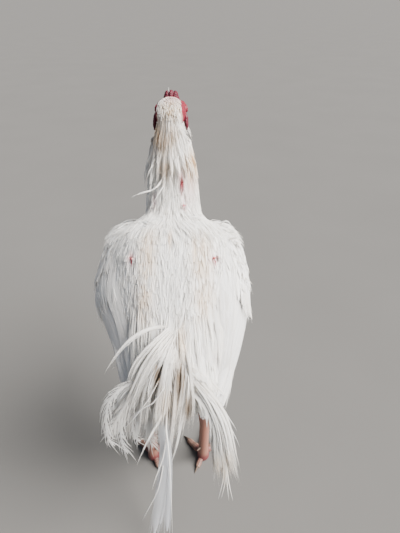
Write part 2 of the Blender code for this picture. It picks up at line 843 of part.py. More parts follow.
def tail_feathers(torso):
    """Long, worn tail feathers that hang and fan a little, with shorter coverts over their roots."""
    made = []
    steps = 5
    for across, tip, half, bowed, layer in TAIL_FEATHERS.values():
        tip = Vector(tip)
        side = 1 if tip.x > 0 else -1
        root = TAIL_ROOT + Vector((across, 0.003 - TAIL_LAYER * layer, -0.010))
        drop = (tip - root).length
        first = root + Vector((side * bowed, -0.30, -0.40)).normalized() * (drop * 0.28)
        first.x += side * bowed
        second = tip + Vector((side * bowed * 0.8, -0.004, drop * 0.34))
        path = bow(root, first, second, tip, steps)
        path = [point if k == 0 else pushed_out(point, torso, 0.0015) for k, point in enumerate(path)]
        ups = [Vector((side * 0.35 * abs(tip.x) / 0.09, -1.0, 0.25)) for _ in path]
        widths = [half * share for share in (0.35, 0.85, 1.0, 0.90, 0.12)]
        made.append(vane(path, ups, widths, VANE, 0.0006 if half > 0.011 else 0.0))
    for i in range(TAIL_COVERTS):
        side = 2 * i / (TAIL_COVERTS - 1) - 1
        root = TAIL_ROOT + Vector((side * 0.014, -0.008 + 0.004 * side * side - 0.0012 * (i % 2), 0.006))
        length = TAIL_COVERT_LENGTH * random.uniform(0.85, 1.1)
        heading = Vector((side * 0.85, -0.45, -0.85)).normalized()
        tip = root + heading * length
        tip.z -= 0.012
        middle = root + Vector((side * 0.35, -0.75, -0.35)).normalized() * (length * 0.35)
        path = bow(root, middle, tip - heading * (length * 0.3) + Vector((0, -0.004, 0)), tip, 4)
        path = [point if k == 0 else pushed_out(point, torso, 0.0015) for k, point in enumerate(path)]
        ups = [Vector((side * 0.5, -1.0, 0.45)) for _ in path]
        half = 0.0100 * random.uniform(0.9, 1.1)
        made.append(vane(path, ups, [half * 0.6, half, half * 0.8, half * 0.12], VANE))
    return made


# Legs, modelled on the right side


def thigh_form(name):
    rows = [
        (0.046, 0.010, 0.345, 0.030, 0.036, 0.034),
        (0.050, 0.008, 0.315, 0.038, 0.048, 0.046),
        (0.053, 0.002, 0.275, 0.038, 0.047, 0.045),
        (0.054, -0.008, 0.235, 0.032, 0.039, 0.036),
        (0.053, -0.018, 0.200, 0.024, 0.029, 0.026),
        (0.0515, -0.026, 0.170, 0.0165, 0.020, 0.018),
        (0.0505, -0.030, 0.148, 0.0125, 0.015, 0.013),
    ]
    return Oval(rows, Vector((0, 1, 0))).body(name, 10, 12)


def shank_form(name):
    """The scaled shank from the hock down, its front scutes as low steps."""
    scutes = 10
    rings = []
    up = Vector((0, 1, 0))
    top, bottom = HOCK + Vector((0, 0, 0.0075)), ANKLE
    along = (bottom - top).normalized()
    for i in range(scutes * 2 + 1):
        share = i / (scutes * 2)
        centre = top.lerp(bottom, share)
        swell = 1.0 + 0.42 * math.exp(-((share / 0.13) ** 2)) + 0.16 * math.exp(-(((share - 1) / 0.12) ** 2))
        step = 0.0006 if i % 2 else 0.0
        radius = SHANK_RADIUS * swell
        rings.append(
            ring(centre, along, up, radius * 0.88, radius + step, radius * 0.98, 8)
        )
    return loft(name, rings)


TOES = {
    # name: (heading in degrees from straight ahead, outwards positive; length; joints)
    "middle": (4, 0.064, 4),
    "inner": (-38, 0.046, 3),
    "outer": (42, 0.050, 4),
    "hind": (-157, 0.028, 2),
}


def toe_end(name):
    """Where a toe ends, and its heading."""
    heading, length, _ = TOES[name]
    turn = math.radians(heading)
    along = Vector((math.sin(turn), math.cos(turn), 0))
    return Vector((STANCE, 0.004, 0)) + along * length, along


def toe_form(name):
    heading, length, joints = TOES[name]
    end, along = toe_end(name)
    start = Vector((STANCE, 0.004, 0.0)) - along * 0.001
    count = joints * 2 + 1
    slim = 0.80 if name == "hind" else 1.0
    rings = []
    for i in range(count):
        share = i / (count - 1)
        bulge = 1.0 + (0.08 if i % 2 else -0.06)
        radius = TOE_RADIUS * slim * (1.05 - 0.36 * share) * bulge
        rise = 0.010 * (1 - share) ** 2 if name != "hind" else 0.006 * (1 - share)
        centre = start.lerp(end, share) + Vector((0, 0, radius * 0.86 + rise))
        rings.append(ring(centre, along, Vector((0, 0, 1)), radius, radius, radius * 0.9, 7))
    return loft("toe", rings)


def foot_node(name):
    """Four toes and the ball of the foot, flattened where they meet the ground."""
    pieces = [ball("ball_of_foot", Vector((STANCE, 0.003, 0.0085)), (0.0115, 0.0125, 0.0110), 10, 6)]
    pieces += [toe_form(toe) for toe in TOES]
    foot = fuse(name, pieces)
    mesh = foot.data
    for vert in mesh.vertices:
        vert.co.z = max(vert.co.z, 0.0)
    ground = bmesh.new()
    bmesh.ops.create_cube(ground, size=1.0)
    bmesh.ops.transform(
        ground,
        matrix=Matrix.Translation((STANCE, 0.0, -0.4994)) @ Matrix.Scale(1.0, 4),
        verts=ground.verts,
    )
    foot = cut(foot, [new_object("ground_cutter", ground)])
    for vert in foot.data.vertices:
        vert.co.z -= 0.0006
    return foot


def claw(name, toe):
    """A curved claw, its root face to face with the end of its toe."""
    end, along = toe_end(toe)
    slim = 0.80 if toe == "hind" else 1.0
    length = 0.016 * slim
    height = TOE_RADIUS * slim * 0.69 * 0.86
    rings = []
    for i in range(5):
        share = i / 4
        drop = 0.0042 * share * share
        centre = end + along * (GAP + 0.0004 + length * share)
        radius = max(0.0040 * slim * (1 - share) ** 0.75, 0.0005)
        centre.z = max(height + 0.0008 - drop, radius * 0.9)
        rings.append(ring(centre, along, Vector((0, 0, 1)), radius * 0.8, radius, radius * 0.85, 6))
    return loft(name, rings)


def spur(name, shank):
    """A short blunt spur on the inner back side of the shank."""
    root = Vector((STANCE - 0.004, -0.010, 0.046))
    tip = root + Vector((-0.012, -0.013, -0.001))
    along = (tip - root).normalized()
    rings = []
    for i in range(5):
        share = i / 4
        radius = max(0.0048 * (1 - share) ** 0.6, 0.0009)
        rings.append(ring(root.lerp(tip, share), along, Vector((0, 0, 1)), radius, radius, radius, 8))
    return cut_clear_of(loft(name, rings), [shank])


# Assembly


def both_sides(name, right):
    """The right-hand node and its mirror image."""
    right.name = name + "_right"
    return [right, mirrored(name + "_left", right)]


def centre_on_floor(nodes):
    """Moves the whole bird so that its box stands centred over the origin."""
    low, high = Vector((9, 9, 9)), Vector((-9, -9, -9))
    for node in nodes:
        for vert in node.data.vertices:
            low = Vector(map(min, low, vert.co))
            high = Vector(map(max, high, vert.co))
    middle = (low + high) / 2
    shift = Matrix.Translation((-middle.x, -middle.y, -low.z))
    for node in nodes:
        node.data.transform(shift)
    print("shift", [round(v, 5) for v in (-middle.x, -middle.y, -low.z)])


def main():
    random.seed(RANDOM_SEED)
    clear_scene()
    bird = new_collection("aseel_cock")
    nodes = []

    def add(finish, *objects):
        for obj in objects:
            nodes.append(finished(obj, finish))

    trunk = torso_form()
    torso = trunk.body("torso", 18, 20)
    plain_wing, tucked_wing = wing_form("plain_wing", 0.0), wing_form("tucked_wing", LEFT_TUCK)
    plain_wings = [plain_wing, mirrored("plain_wing_left", tucked_wing)]
    around_torso = surface_of(torso)
    around_wings = [surface_of(wing) for wing in plain_wings]

    head = head_node()
    throat = neck_form()
    neck_core = throat.body("neck", 11, 12, grow=-HACKLE_DEPTH)
    neck = fuse("neck", [neck_core] + hackles(throat, around_torso, around_wings))
    neck = cut_clear_of(neck, [torso, head])
    neck = cut_clear_of(neck, plain_wings, WING_CLEARANCE)
    add("feather", head, neck)

    eyes = [eye_node(1, "eye_right"), eye_node(-1, "eye_left")]
    add("eye", *eyes)
    upper, lower = upper_bill(), lower_bill()
    add("horn", cut_clear_of(upper, [head]), cut_clear_of(lower, [head, upper]))
    comb = cut_clear_of(comb_node(head), [upper])
    add("red_skin", comb)
    add("red_skin", *both_sides("ear_lobe", face_lobe("ear_lobe", 1, head, neck)))
    add("red_skin", *both_sides("wattle", wattle("wattle", 1, head, neck, lower)))

    thighs = []
    for name, tuck, outline in (("right", 0.0, plain_wing), ("left", LEFT_TUCK, tucked_wing)):
        thigh = cut_clear_of(thigh_form("thigh_" + name), [torso])
        thigh = cut_clear_of(thigh, [outline], WING_CLEARANCE)
        core = wing_core("wing_" + name, tuck)
        feathered = fuse("wing_" + name, [core] + wing_feathers(core, around_torso, tuck))
        wing = cut_clear_of(feathered, [torso, thigh])
        if name == "left":
            wing, thigh = flipped(wing), flipped(thigh)
        add("feather", wing)
        thighs.append(thigh)

    tail = fuse("tail", [tail_core()] + tail_feathers(around_torso))
    add("feather", cut_clear_of(tail, [torso]))

    shank = cut_clear_of(shank_form("shank"), [thighs[0]])
    foot = cut_clear_of(foot_node("foot"), [shank])
    add("feather", *thighs)
    add("leg_scale", *both_sides("shank", shank))
    add("horn", *both_sides("spur", spur("spur", shank)))
    add("leg_scale", *both_sides("foot", foot))
    for toe in TOES:
        add("horn", *both_sides("claw_" + toe, cut_clear_of(claw("claw", toe), [foot])))

    add("feather", fuse("torso", [torso] + saddle(trunk, around_wings)))
    for wing in plain_wings + [tucked_wing]:
        bpy.data.objects.remove(wing, do_unlink=True)

    for node in nodes:
        for holder in list(node.users_collection):
            holder.objects.unlink(node)
        bird.objects.link(node)
    centre_on_floor(nodes)


main()
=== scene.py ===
"""The look of a white aseel cock over its solids: skin, feathers, comb, bill, eyes and scaled legs."""

import math
import random
from random import uniform

import bmesh
import bpy
import numpy as np
from mathutils import Matrix, Vector, noise
from mathutils.bvhtree import BVHTree


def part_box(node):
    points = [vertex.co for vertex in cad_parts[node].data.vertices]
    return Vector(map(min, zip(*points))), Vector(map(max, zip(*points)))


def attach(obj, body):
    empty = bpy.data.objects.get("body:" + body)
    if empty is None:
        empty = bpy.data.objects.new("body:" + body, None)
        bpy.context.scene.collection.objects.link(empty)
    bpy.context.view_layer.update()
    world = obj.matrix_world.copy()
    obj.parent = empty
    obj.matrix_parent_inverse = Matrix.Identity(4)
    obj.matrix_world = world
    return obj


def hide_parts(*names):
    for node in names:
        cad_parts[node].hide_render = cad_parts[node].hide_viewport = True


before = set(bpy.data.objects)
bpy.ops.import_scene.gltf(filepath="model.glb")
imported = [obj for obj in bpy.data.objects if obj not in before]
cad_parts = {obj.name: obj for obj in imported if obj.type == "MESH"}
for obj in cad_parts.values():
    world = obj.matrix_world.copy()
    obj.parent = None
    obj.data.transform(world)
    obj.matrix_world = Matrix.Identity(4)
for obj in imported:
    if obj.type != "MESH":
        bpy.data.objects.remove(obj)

SEED = 11
random.seed(SEED)
dice = np.random.default_rng(SEED)

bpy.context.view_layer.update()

# The bird's sizes, in its own frame: feet at Y = 0, facing +Y

BODY_HALF_WIDTH = 0.092
BODY_BACK = 0.078
BODY_BELLY = 0.088
RUMP = Vector((0.0, -0.105, 0.322))
SHOULDERS = Vector((0.0, 0.080, 0.466))
NECK_HALF_WIDTH = 0.041
HEAD_CENTRE = Vector((0.0, 0.080, 0.626))
HEAD_HALF_WIDTH = 0.0215
STANCE = 0.047
HOCK = Vector((0.050, -0.030, 0.140))
ANKLE = Vector((STANCE, 0.0, 0.018))
SHANK_RADIUS = 0.0088
TOE_RADIUS = 0.0068
EYE_RADIUS = 0.0058
EYE_PLACE = (0.0172, 0.0150, 0.0035)
WING_HALF_HEIGHT = 0.064
WING_THICKNESS = 0.026
WING_WRAP = 0.026
WING_DOWN = Vector((0, 0.62, -0.78))
TAIL_ROOT = Vector((0.0, -0.112, 0.318))

# How deep the skin lies under the tips of the coat
TRUNK_COAT = 0.0050
NECK_COAT = 0.0060
THIGH_COAT = 0.0040
WING_COAT = 0.0030

QUILL = 0.00022

SIDES = ((1, "right"), (-1, "left"))
# The side of each feather's patch on the baked unwrap
PATCH = 0.003
# A place on a form further than this from the skin carries no feather
ROOT_GAP = 0.0085
# Where a feather of the back would stand out past the folded wing
WING_EDGE_X = 0.104
WING_EDGE_Y = -0.030


def frame_shift():
    """Where the bird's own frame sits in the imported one, read from its eyes."""
    low_right, high_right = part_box("eye_right")
    low_left, high_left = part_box("eye_left")
    middle = (low_right + high_right + low_left + high_left) / 4
    return middle - (HEAD_CENTRE + Vector((0.0, EYE_PLACE[1], EYE_PLACE[2])))


SHIFT = frame_shift()

# The camera at the photograph's angle, in the bird's frame, in metres and photograph pixels

CAMERA_PLACE = Vector((0.041, -0.612, 0.777))
CAMERA_PITCH = math.radians(60)
FOCAL_PIXELS = 480.0
PHOTO_CENTRE = (200.0, 266.5)
PHOTO_HEIGHT = 533


def on_ray(px, row, y):
    """The point at depth y behind a pixel of the photograph."""
    u = (px - PHOTO_CENTRE[0]) / FOCAL_PIXELS
    v = (PHOTO_CENTRE[1] - row) / FOCAL_PIXELS
    ahead = Vector((0, math.sin(CAMERA_PITCH), -math.cos(CAMERA_PITCH)))
    up = Vector((0, math.cos(CAMERA_PITCH), math.sin(CAMERA_PITCH)))
    ray = ahead + Vector((u, 0, 0)) + up * v
    return CAMERA_PLACE + ray * ((y - CAMERA_PLACE.y) / ray.y)


# Markings shared by the skin and its coat: what, pixel, row, reach across and up, strength,
# and the depth of a mark that isn't on the skin
MARKINGS = (
    ("warm", 163, 136, 0.0190, 0.0260, 1.00, None),
    ("warm", 166, 170, 0.0090, 0.0130, 0.80, None),
    ("warm", 191, 166, 0.0120, 0.0220, 1.30, None),
    ("warm", 171, 110, 0.0180, 0.0160, 0.80, None),
    ("warm", 148, 258, 0.0120, 0.0360, 0.80, None),
    ("warm", 145, 302, 0.0120, 0.0280, 0.72, None),
    ("warm", 149, 262, 0.0040, 0.0260, 0.75, None),
    ("warm", 144, 290, 0.0040, 0.0200, 0.70, None),
    ("warm", 202, 262, 0.0130, 0.0360, 0.80, None),
    ("warm", 204, 298, 0.0140, 0.0280, 0.68, None),
    ("warm", 194, 254, 0.0042, 0.0260, 0.75, None),
    ("warm", 170, 240, 0.0030, 0.0120, 0.60, None),
    ("warm", 182, 340, 0.0060, 0.0250, 0.55, -0.112),
    ("warm", 221, 470, 0.0140, 0.0500, 0.55, -0.150),
    ("warm", 168, 400, 0.0160, 0.0240, 0.50, -0.145),
    ("soil", 158, 377, 0.0050, 0.0180, 1.70, -0.148),
    ("soil", 180, 380, 0.0070, 0.0200, 2.10, -0.146),
    ("soil", 188, 408, 0.0052, 0.0190, 1.45, -0.146),
    ("soil", 172, 106, 0.0150, 0.0140, 0.40, None),
    ("soil", 171, 415, 0.0040, 0.0200, 0.50, -0.150),
    ("soil", 171, 336, 0.0024, 0.0024, 0.90, -0.106),
    ("soil", 177, 345, 0.0022, 0.0022, 0.85, -0.114),
    ("soil", 170, 106, 0.0024, 0.0028, 1.30, None),
    ("soil", 168, 116, 0.0016, 0.0024, 1.00, None),
    ("raw", 172, 98, 0.0150, 0.0060, 0.30, None),
    ("raw", 190, 190, 0.0090, 0.0180, 0.24, None),
    ("raw", 182, 184, 0.0032, 0.0130, 1.10, None),
    ("raw", 184, 205, 0.0032, 0.0034, 1.10, None),
    ("raw", 155, 201, 0.0030, 0.0090, 0.40, None),
    ("raw", 132, 259, 0.0050, 0.0046, 0.70, None),
    ("raw", 132, 259, 0.0022, 0.0022, 2.20, None),
    ("raw", 214, 258, 0.0060, 0.0044, 0.70, None),
    ("raw", 214.5, 258, 0.0030, 0.0027, 2.60, None),
)
MARK_DEPTH = 0.030
MARKED = []


def place_markings(surfaces):
    """Sets each marking down where its ray meets the bird."""
    for kind, px, row, across, up, strength, depth in MARKINGS:
        place = on_ray(px, row, 0.0 if depth is None else depth)
        ray = (place - CAMERA_PLACE).normalized()
        if depth is None:
            hits = [surface.ray_cast(CAMERA_PLACE, ray) for surface in surfaces]
            hits = [hit for hit in hits if hit[0] is not None]
            if not hits:
                continue
            place = min(hits, key=lambda hit: hit[3])[0]
        side = Vector((1, 0, 0))
        over = side.cross(ray).normalized()
        channel = ("warm", "raw", "soil").index(kind)
        MARKED.append((channel, place, side / across, over / up, ray / MARK_DEPTH, strength))


def marks_at(points):
    """How warm, raw and soiled the bird is at each of an array of points."""
    found = np.zeros((len(points), 3))
    for channel, place, side, over, ray, strength in MARKED:
        gap = points - np.array(place)
        far = (gap @ np.array(side)) ** 2 + (gap @ np.array(over)) ** 2 + (gap @ np.array(ray)) ** 4
        found[:, channel] = np.maximum(found[:, channel], strength * np.exp(-far))
    return found


def points_of(data):
    places = np.empty(len(data.vertices) * 3)
    data.vertices.foreach_get("co", places)
    return places.reshape(-1, 3)


def put_values(data, name, values):
    """Writes an attribute on a mesh's points: a number for each, or a colour."""
    values = np.asarray(values, dtype=np.float32)
    kind, field = ("FLOAT", "value") if values.ndim == 1 else ("FLOAT_COLOR", "color")
    data.attributes.new(name, kind, "POINT").data.foreach_set(field, values.ravel())


def with_marks(data):
    """Writes the markings on a mesh's points as its marks attribute."""
    colours = np.ones((len(data.vertices), 4), dtype=np.float32)
    colours[:, :3] = marks_at(points_of(data))
    put_values(data, "marks", colours)


def put_unwrap(data, spots):
    """Writes the baked unwrap from a place on it for each point."""
    corners = np.empty(len(data.loops), dtype=np.int32)
    data.loops.foreach_get("vertex_index", corners)
    layer = data.uv_layers.new(name="OFBake")
    layer.data.foreach_set("uv", spots[corners].ravel().astype(np.float32))


def is_raw(point):
    return marks_at(np.array([tuple(point)]))[0, 1] > 0.35


# Curves and forms


def curve_weights(shares, count):
    """Weights that turn count points of a path into smooth points at the given shares of it."""
    table = np.zeros((len(shares), count))
    for row, share in enumerate(shares):
        place = min(max(share, 0.0), 1.0) * (count - 1)
        i = min(int(place), count - 2)
        t = place - i
        parts = (
            (i - 1, 0.5 * (-t + 2 * t * t - t**3)),
            (i, 0.5 * (2 - 5 * t * t + 3 * t**3)),
            (i + 1, 0.5 * (t + 4 * t * t - 3 * t**3)),
            (i + 2, 0.5 * (t**3 - t * t)),
        )
        for k, weight in parts:
            if k < 0:
                table[row, 0] += 2 * weight
                table[row, 1] -= weight
            elif k >= count:
                table[row, -1] += 2 * weight
                table[row, -2] -= weight
            else:
                table[row, k] += weight
    return table


def smooth_rows(rows, count):
    """Rows of numbers resampled along a smooth curve through them all."""
    rows = np.array(rows, float)
    return curve_weights(np.linspace(0, 1, count), len(rows)) @ rows


def directions(points):
    found = []
    for i in range(len(points)):
        found.append((points[min(i + 1, len(points) - 1)] - points[max(i - 1, 0)]).normalized())
    return found


class Oval:
    """A form with an oval section along a smooth path. A row is x, y, z, half width, above, below."""

    def __init__(self, rows, up, count=61):
        rows = smooth_rows(rows, count)
        centres = [Vector(row[:3]) for row in rows]
        self.sections = []
        for centre, along, row in zip(centres, directions(centres), rows):
            across = along.cross(up).normalized()
            sizes = [max(size, 0.0008) for size in row[3:]]
            self.sections.append((centre, along, across, across.cross(along), sizes))
        self.length = sum((b - a).length for a, b in zip(centres, centres[1:]))

    def section(self, share):
        last = len(self.sections) - 1
        place = min(max(share, 0.0), 1.0) * last
        i = min(int(place), last - 1)
        t = place - i
        near, far = self.sections[i], self.sections[i + 1]
        centre, along, across, up = (near[k].lerp(far[k], t) for k in range(4))
        sizes = [a + (b - a) * t for a, b in zip(near[4], far[4])]
        centre = centre + along.normalized() * ((share - place / last) * self.length)
        return centre, along.normalized(), across.normalized(), up.normalized(), sizes

    def place(self, share, turn, lift=0.0):
        """A point on the surface and its outward direction. Turn runs from the up side, in radians."""
        centre, _, across, up, (half, above, below) = self.section(share)
        height = above if math.cos(turn) > 0 else below
        outward = (across * (math.sin(turn) / half) + up * (math.cos(turn) / height)).normalized()
        point = centre + across * (half * math.sin(turn)) + up * (height * math.cos(turn))
        return point + outward * lift, outward

    def girth(self, share):
        half, above, below = self.section(share)[4]
        return math.pi * (half + (above + below) / 2)

    def rings(self, count, sides, start=0.0, end=1.0, grow=0.0):
        return [
            [self.place(share, 2 * math.pi * i / sides, grow)[0] for i in range(sides)]
            for share in np.linspace(start, end, count)
        ]


def torso_form():
    shares = [
        (-0.06, 0.10, 0.08, 0.08),
        (0.00, 0.28, 0.30, 0.26),
        (0.14, 0.56, 0.58, 0.56),
        (0.30, 0.82, 0.82, 0.86),
        (0.47, 0.97, 0.97, 1.00),
        (0.63, 1.00, 1.00, 1.02),
        (0.78, 0.92, 0.88, 0.94),
        (0.90, 0.72, 0.66, 0.74),
        (0.99, 0.42, 0.40, 0.46),
        (1.04, 0.14, 0.14, 0.16),
    ]
    rows = []
    for share, width, back, belly in shares:
        centre = RUMP.lerp(SHOULDERS, share)
        rows.append((*centre, width * BODY_HALF_WIDTH, back * BODY_BACK, belly * BODY_BELLY))
    return Oval(rows, Vector((0, -0.6, 0.8)))


def neck_form():
    shares = [
        (0.062, 0.425, 1.28, 1.10, 1.00),
        (0.068, 0.462, 1.17, 1.05, 1.04),
        (0.074, 0.495, 1.02, 0.94, 0.98),
        (0.080, 0.530, 0.93, 0.80, 0.84),
        (0.082, 0.562, 0.78, 0.70, 0.72),
        (0.081, 0.586, 0.62, 0.62, 0.60),
        (0.079, 0.603, 0.50, 0.56, 0.46),
        (0.077, 0.618, 0.36, 0.42, 0.32),
    ]
    rows = [(0.0, y, z, *(share * NECK_HALF_WIDTH for share in widths)) for y, z, *widths in shares]
    return Oval(rows, Vector((0, -1, 0)))


def head_point(side, forward, up):
    return HEAD_CENTRE + Vector((side, forward, up))


def head_form():
    shares = [
        (-0.0320, 0.0020, 0.20, 0.18, 0.20),
        (-0.0285, 0.0020, 0.62, 0.55, 0.62),
        (-0.0180, 0.0015, 0.93, 0.92, 1.00),
        (-0.0040, 0.0010, 1.00, 1.03, 1.10),
        (0.0120, 0.0000, 0.97, 0.98, 1.02),
        (0.0240, -0.0010, 0.82, 0.80, 0.84),
        (0.0340, -0.0030, 0.64, 0.58, 0.62),
        (0.0420, -0.0050, 0.52, 0.44, 0.47),
    ]
    rows = [
        (*head_point(0, forward, up), *(s * HEAD_HALF_WIDTH for s in sizes))
        for forward, up, *sizes in shares
    ]
    return Oval(rows, Vector((0, 0, 1)))


def thigh_form(side):
    rows = [
        (0.046, 0.010, 0.345, 0.030, 0.036, 0.034),
        (0.050, 0.008, 0.315, 0.038, 0.048, 0.046),
        (0.053, 0.002, 0.275, 0.038, 0.047, 0.045),
        (0.054, -0.008, 0.235, 0.032, 0.039, 0.036),
        (0.053, -0.018, 0.200, 0.024, 0.029, 0.026),
        (0.0515, -0.026, 0.170, 0.0165, 0.020, 0.018),
        (0.0505, -0.030, 0.148, 0.0125, 0.015, 0.013),
    ]
    return Oval([(side * row[0], *row[1:]) for row in rows], Vector((0, 1, 0)))


WING_ROWS = smooth_rows(
    [
        (0.060, 0.0850, 0.4520, 0.16, 0.25),
        (0.071, 0.0760, 0.4420, 0.52, 0.62),
        (0.081, 0.0540, 0.4240, 0.86, 0.92),
        (0.0865, 0.0240, 0.4010, 1.00, 1.00),
        (0.0890, -0.0080, 0.3740, 1.02, 1.00),
        (0.0870, -0.0400, 0.3440, 0.90, 0.84),
        (0.0820, -0.0690, 0.3110, 0.66, 0.58),
        (0.0750, -0.0900, 0.2800, 0.40, 0.34),
        (0.0690, -0.1020, 0.2580, 0.12, 0.14),
    ],
    61,
)
LEFT_TUCK = 0.0150


def wing_row(side, share):
    """One row of the wing's mid line. The left wing's tip is held closer to the body."""
    spot = min(max(share, 0.0), 1.0) * (len(WING_ROWS) - 1)
    i = min(int(spot), len(WING_ROWS) - 2)
    row = WING_ROWS[i] + (WING_ROWS[i + 1] - WING_ROWS[i]) * (spot - i)
    if side < 0:
        drawn_in = clamped((share - 0.48) / 0.26)
        row[0] -= LEFT_TUCK * drawn_in * drawn_in * (3 - 2 * drawn_in)
    return row


def wing_place(side, share, offset, lift=0.0):
    """A place on the outer face of a folded wing, and its outward direction."""
    x, y, z, height, thick = wing_row(side, share)
    beyond = Vector((-0.02, -0.07, -0.16)) * max(share - 1.0, 0.0)
    round_off = math.sqrt(max(1 - offset * offset, 0.0))
    out = thick * WING_THICKNESS * round_off - WING_WRAP * height * offset**2
    point = Vector((x + out, y, z)) + WING_DOWN * (height * WING_HALF_HEIGHT * offset) + beyond
    outward = (Vector((1.0, 0.0, 0.0)) + WING_DOWN * (0.95 * offset)).normalized()
    point = point + outward * lift
    return Vector((side * point.x, point.y, point.z)), Vector((side * outward.x, outward.y, outward.z))


def wing_core_rings(side):
    rings = []
    for share in np.linspace(0.0, 0.72, 22):
        x, y, z, height, thick = wing_row(side, share)
        fade = math.sqrt(max(1 - (share / 0.74) ** 6, 0.0))
        height *= fade * 0.85
        ring = []
        for k in range(28):
            turn = 2 * math.pi * k / 28
            offset = math.sin(turn)
            out = (fade * thick * WING_THICKNESS - WING_COAT) * math.cos(
                turn
            ) - WING_WRAP * height * offset**2
            point = Vector((x + out, y, z)) + WING_DOWN * (height * WING_HALF_HEIGHT * offset)
            ring.append(Vector((side * point.x, point.y, point.z)))
        rings.append(ring)
    return rings


# Mesh pieces


def linked(name, data):
    made = bpy.data.objects.new(name, data)
    bpy.context.scene.collection.objects.link(made)
    return made


def mesh_object(name, mesh):
    """An object from a mesh that is being worked on, which is then freed."""
    data = bpy.data.meshes.new(name)
    mesh.to_mesh(data)
    mesh.free()
    return linked(name, data)


def mesh_from(name, points, faces):
    """An object from points in the bird's frame and lists of faces, turned outwards."""
    mesh = bmesh.new()
    verts = [mesh.verts.new(point) for point in points]
    for face in faces:
        mesh.faces.new([verts[i] for i in face])
    bmesh.ops.recalc_face_normals(mesh, faces=mesh.faces)
    return mesh_object(name, mesh)


def tube_faces(rings):
    """Points and faces of a closed body through rings, with a fan at each end."""
    sides = len(rings[0])
    points = [point for ring in rings for point in ring]
    faces = []
    for row in range(len(rings) - 1):
        for k in range(sides):
            m = (k + 1) % sides
            faces.append((row * sides + k, row * sides + m, (row + 1) * sides + m, (row + 1) * sides + k))
    for row in (0, len(rings) - 1):
        middle = len(points)
        points.append(sum((Vector(p) for p in rings[row]), Vector()) / sides)
        for k in range(sides):
            faces.append((row * sides + k, row * sides + (k + 1) % sides, middle))
    return points, faces


def tube(name, rings):
    return mesh_from(name, *tube_faces(rings))


def ball(name, centre, radii, turn=None, segments=24, rings=16):
    mesh = bmesh.new()
    bmesh.ops.create_uvsphere(mesh, u_segments=segments, v_segments=rings, radius=1.0)
    place = Matrix.Translation(centre)
    if turn is not None:
        place = place @ turn.to_matrix().to_4x4()
    bmesh.ops.transform(mesh, matrix=place @ Matrix.Diagonal((*radii, 1.0)), verts=mesh.verts)
    return mesh_object(name, mesh)


def hoop(name, centre, normal, radius, thickness, stretch=1.0, around=36, sides=10):
    """A closed ring of round section, such as an eyelid's rim."""
    turn = normal.to_track_quat("Z", "Y")
    points, faces = [], []
    for i in range(around):
        a = 2 * math.pi * i / around
        for k in range(sides):
            b = 2 * math.pi * k / sides
            out = radius + thickness * math.cos(b)
            local = Vector((out * math.cos(a), out * math.sin(a) * stretch, thickness * math.sin(b)))
            points.append(centre + turn @ local)
    for i in range(around):
        j = (i + 1) % around
        for k in range(sides):
            m = (k + 1) % sides
            faces.append((i * sides + k, i * sides + m, j * sides + m, j * sides + k))
    return mesh_from(name, points, faces)


def evaluated(obj):
    graph = bpy.context.evaluated_depsgraph_get()
    graph.update()
    made = bpy.data.meshes.new_from_object(obj.evaluated_get(graph))
    obj.modifiers.clear()
    old = obj.data
    obj.data = made
    bpy.data.meshes.remove(old)
    return obj


def joined(name, pieces):
    """Several meshes as one object, each still its own closed shell."""
    mesh = bmesh.new()
    for piece in pieces:
        mesh.from_mesh(piece.data)
        bpy.data.objects.remove(piece, do_unlink=True)
    return mesh_object(name, mesh)


def melted(name, pieces, voxel, smooth_steps):
    """Overlapping forms run together into one smooth closed skin."""
    body = joined(name, pieces)
    step = body.modifiers.new("melt", "REMESH")
    step.mode = "VOXEL"
    step.voxel_size = voxel
    step.use_smooth_shade = True
    relax = body.modifiers.new("relax", "SMOOTH")
    relax.factor = 0.5
    relax.iterations = smooth_steps
    return evaluated(body)


def moved_points(obj, change):
    """Moves each point by a function of its place and normal."""
    data = obj.data
    places = points_of(data)
    normals = [vert.normal.copy() for vert in data.vertices]
    for i, normal in enumerate(normals):
        places[i] = change(Vector(places[i]), normal)
    data.vertices.foreach_set("co", places.ravel())
    data.update()
    return obj


def finish(obj, material, slot, *nodes):
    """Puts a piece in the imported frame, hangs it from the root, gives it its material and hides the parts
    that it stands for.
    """
    obj.data.transform(Matrix.Translation(SHIFT))
    obj.data.materials.clear()
    obj.data.materials.append(material)
    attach(obj, "root")
    if nodes:
        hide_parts(*nodes)
    return obj


def surface_of(obj):
    data = obj.data
    return BVHTree.FromPolygons(
        [v.co.copy() for v in data.vertices], [list(p.vertices) for p in data.polygons]
    )


def pushed_out(point, surface, clearance):
    place, outward, _, _ = surface.find_nearest(point)
    if (point - place).dot(outward) < clearance:
        return place + outward * clearance
    return point


# Materials


def nodes_of(material):
    material.use_nodes = True
    tree = material.node_tree
    return tree, tree.nodes["Principled BSDF"]


def add_node(tree, kind, **values):
    made = tree.nodes.new(kind)
    for key, value in values.items():
        setattr(made, key, value)
    return made


def set_inputs(node, **values):
    """Sets inputs of a node by name, with an underscore for each space."""
    for name, value in values.items():
        node.inputs[name.replace("_", " ")].default_value = value


def attribute_of(tree, name):
    return add_node(tree, "ShaderNodeAttribute", attribute_type="GEOMETRY", attribute_name=name).outputs


def channels_of(tree, name):
    """The three channels of a colour attribute, and its alpha."""
    found = attribute_of(tree, name)
    split = tree.nodes.new("ShaderNodeSeparateColor")
    tree.links.new(found["Color"], split.inputs["Color"])
    return (*split.outputs, found["Alpha"])


def math_node(tree, operation, *inputs):
    made = add_node(tree, "ShaderNodeMath", operation=operation)
    for k, value in enumerate(inputs):
        if isinstance(value, (int, float)):
            made.inputs[k].default_value = value
        else:
            tree.links.new(value, made.inputs[k])
    return made.outputs[0]


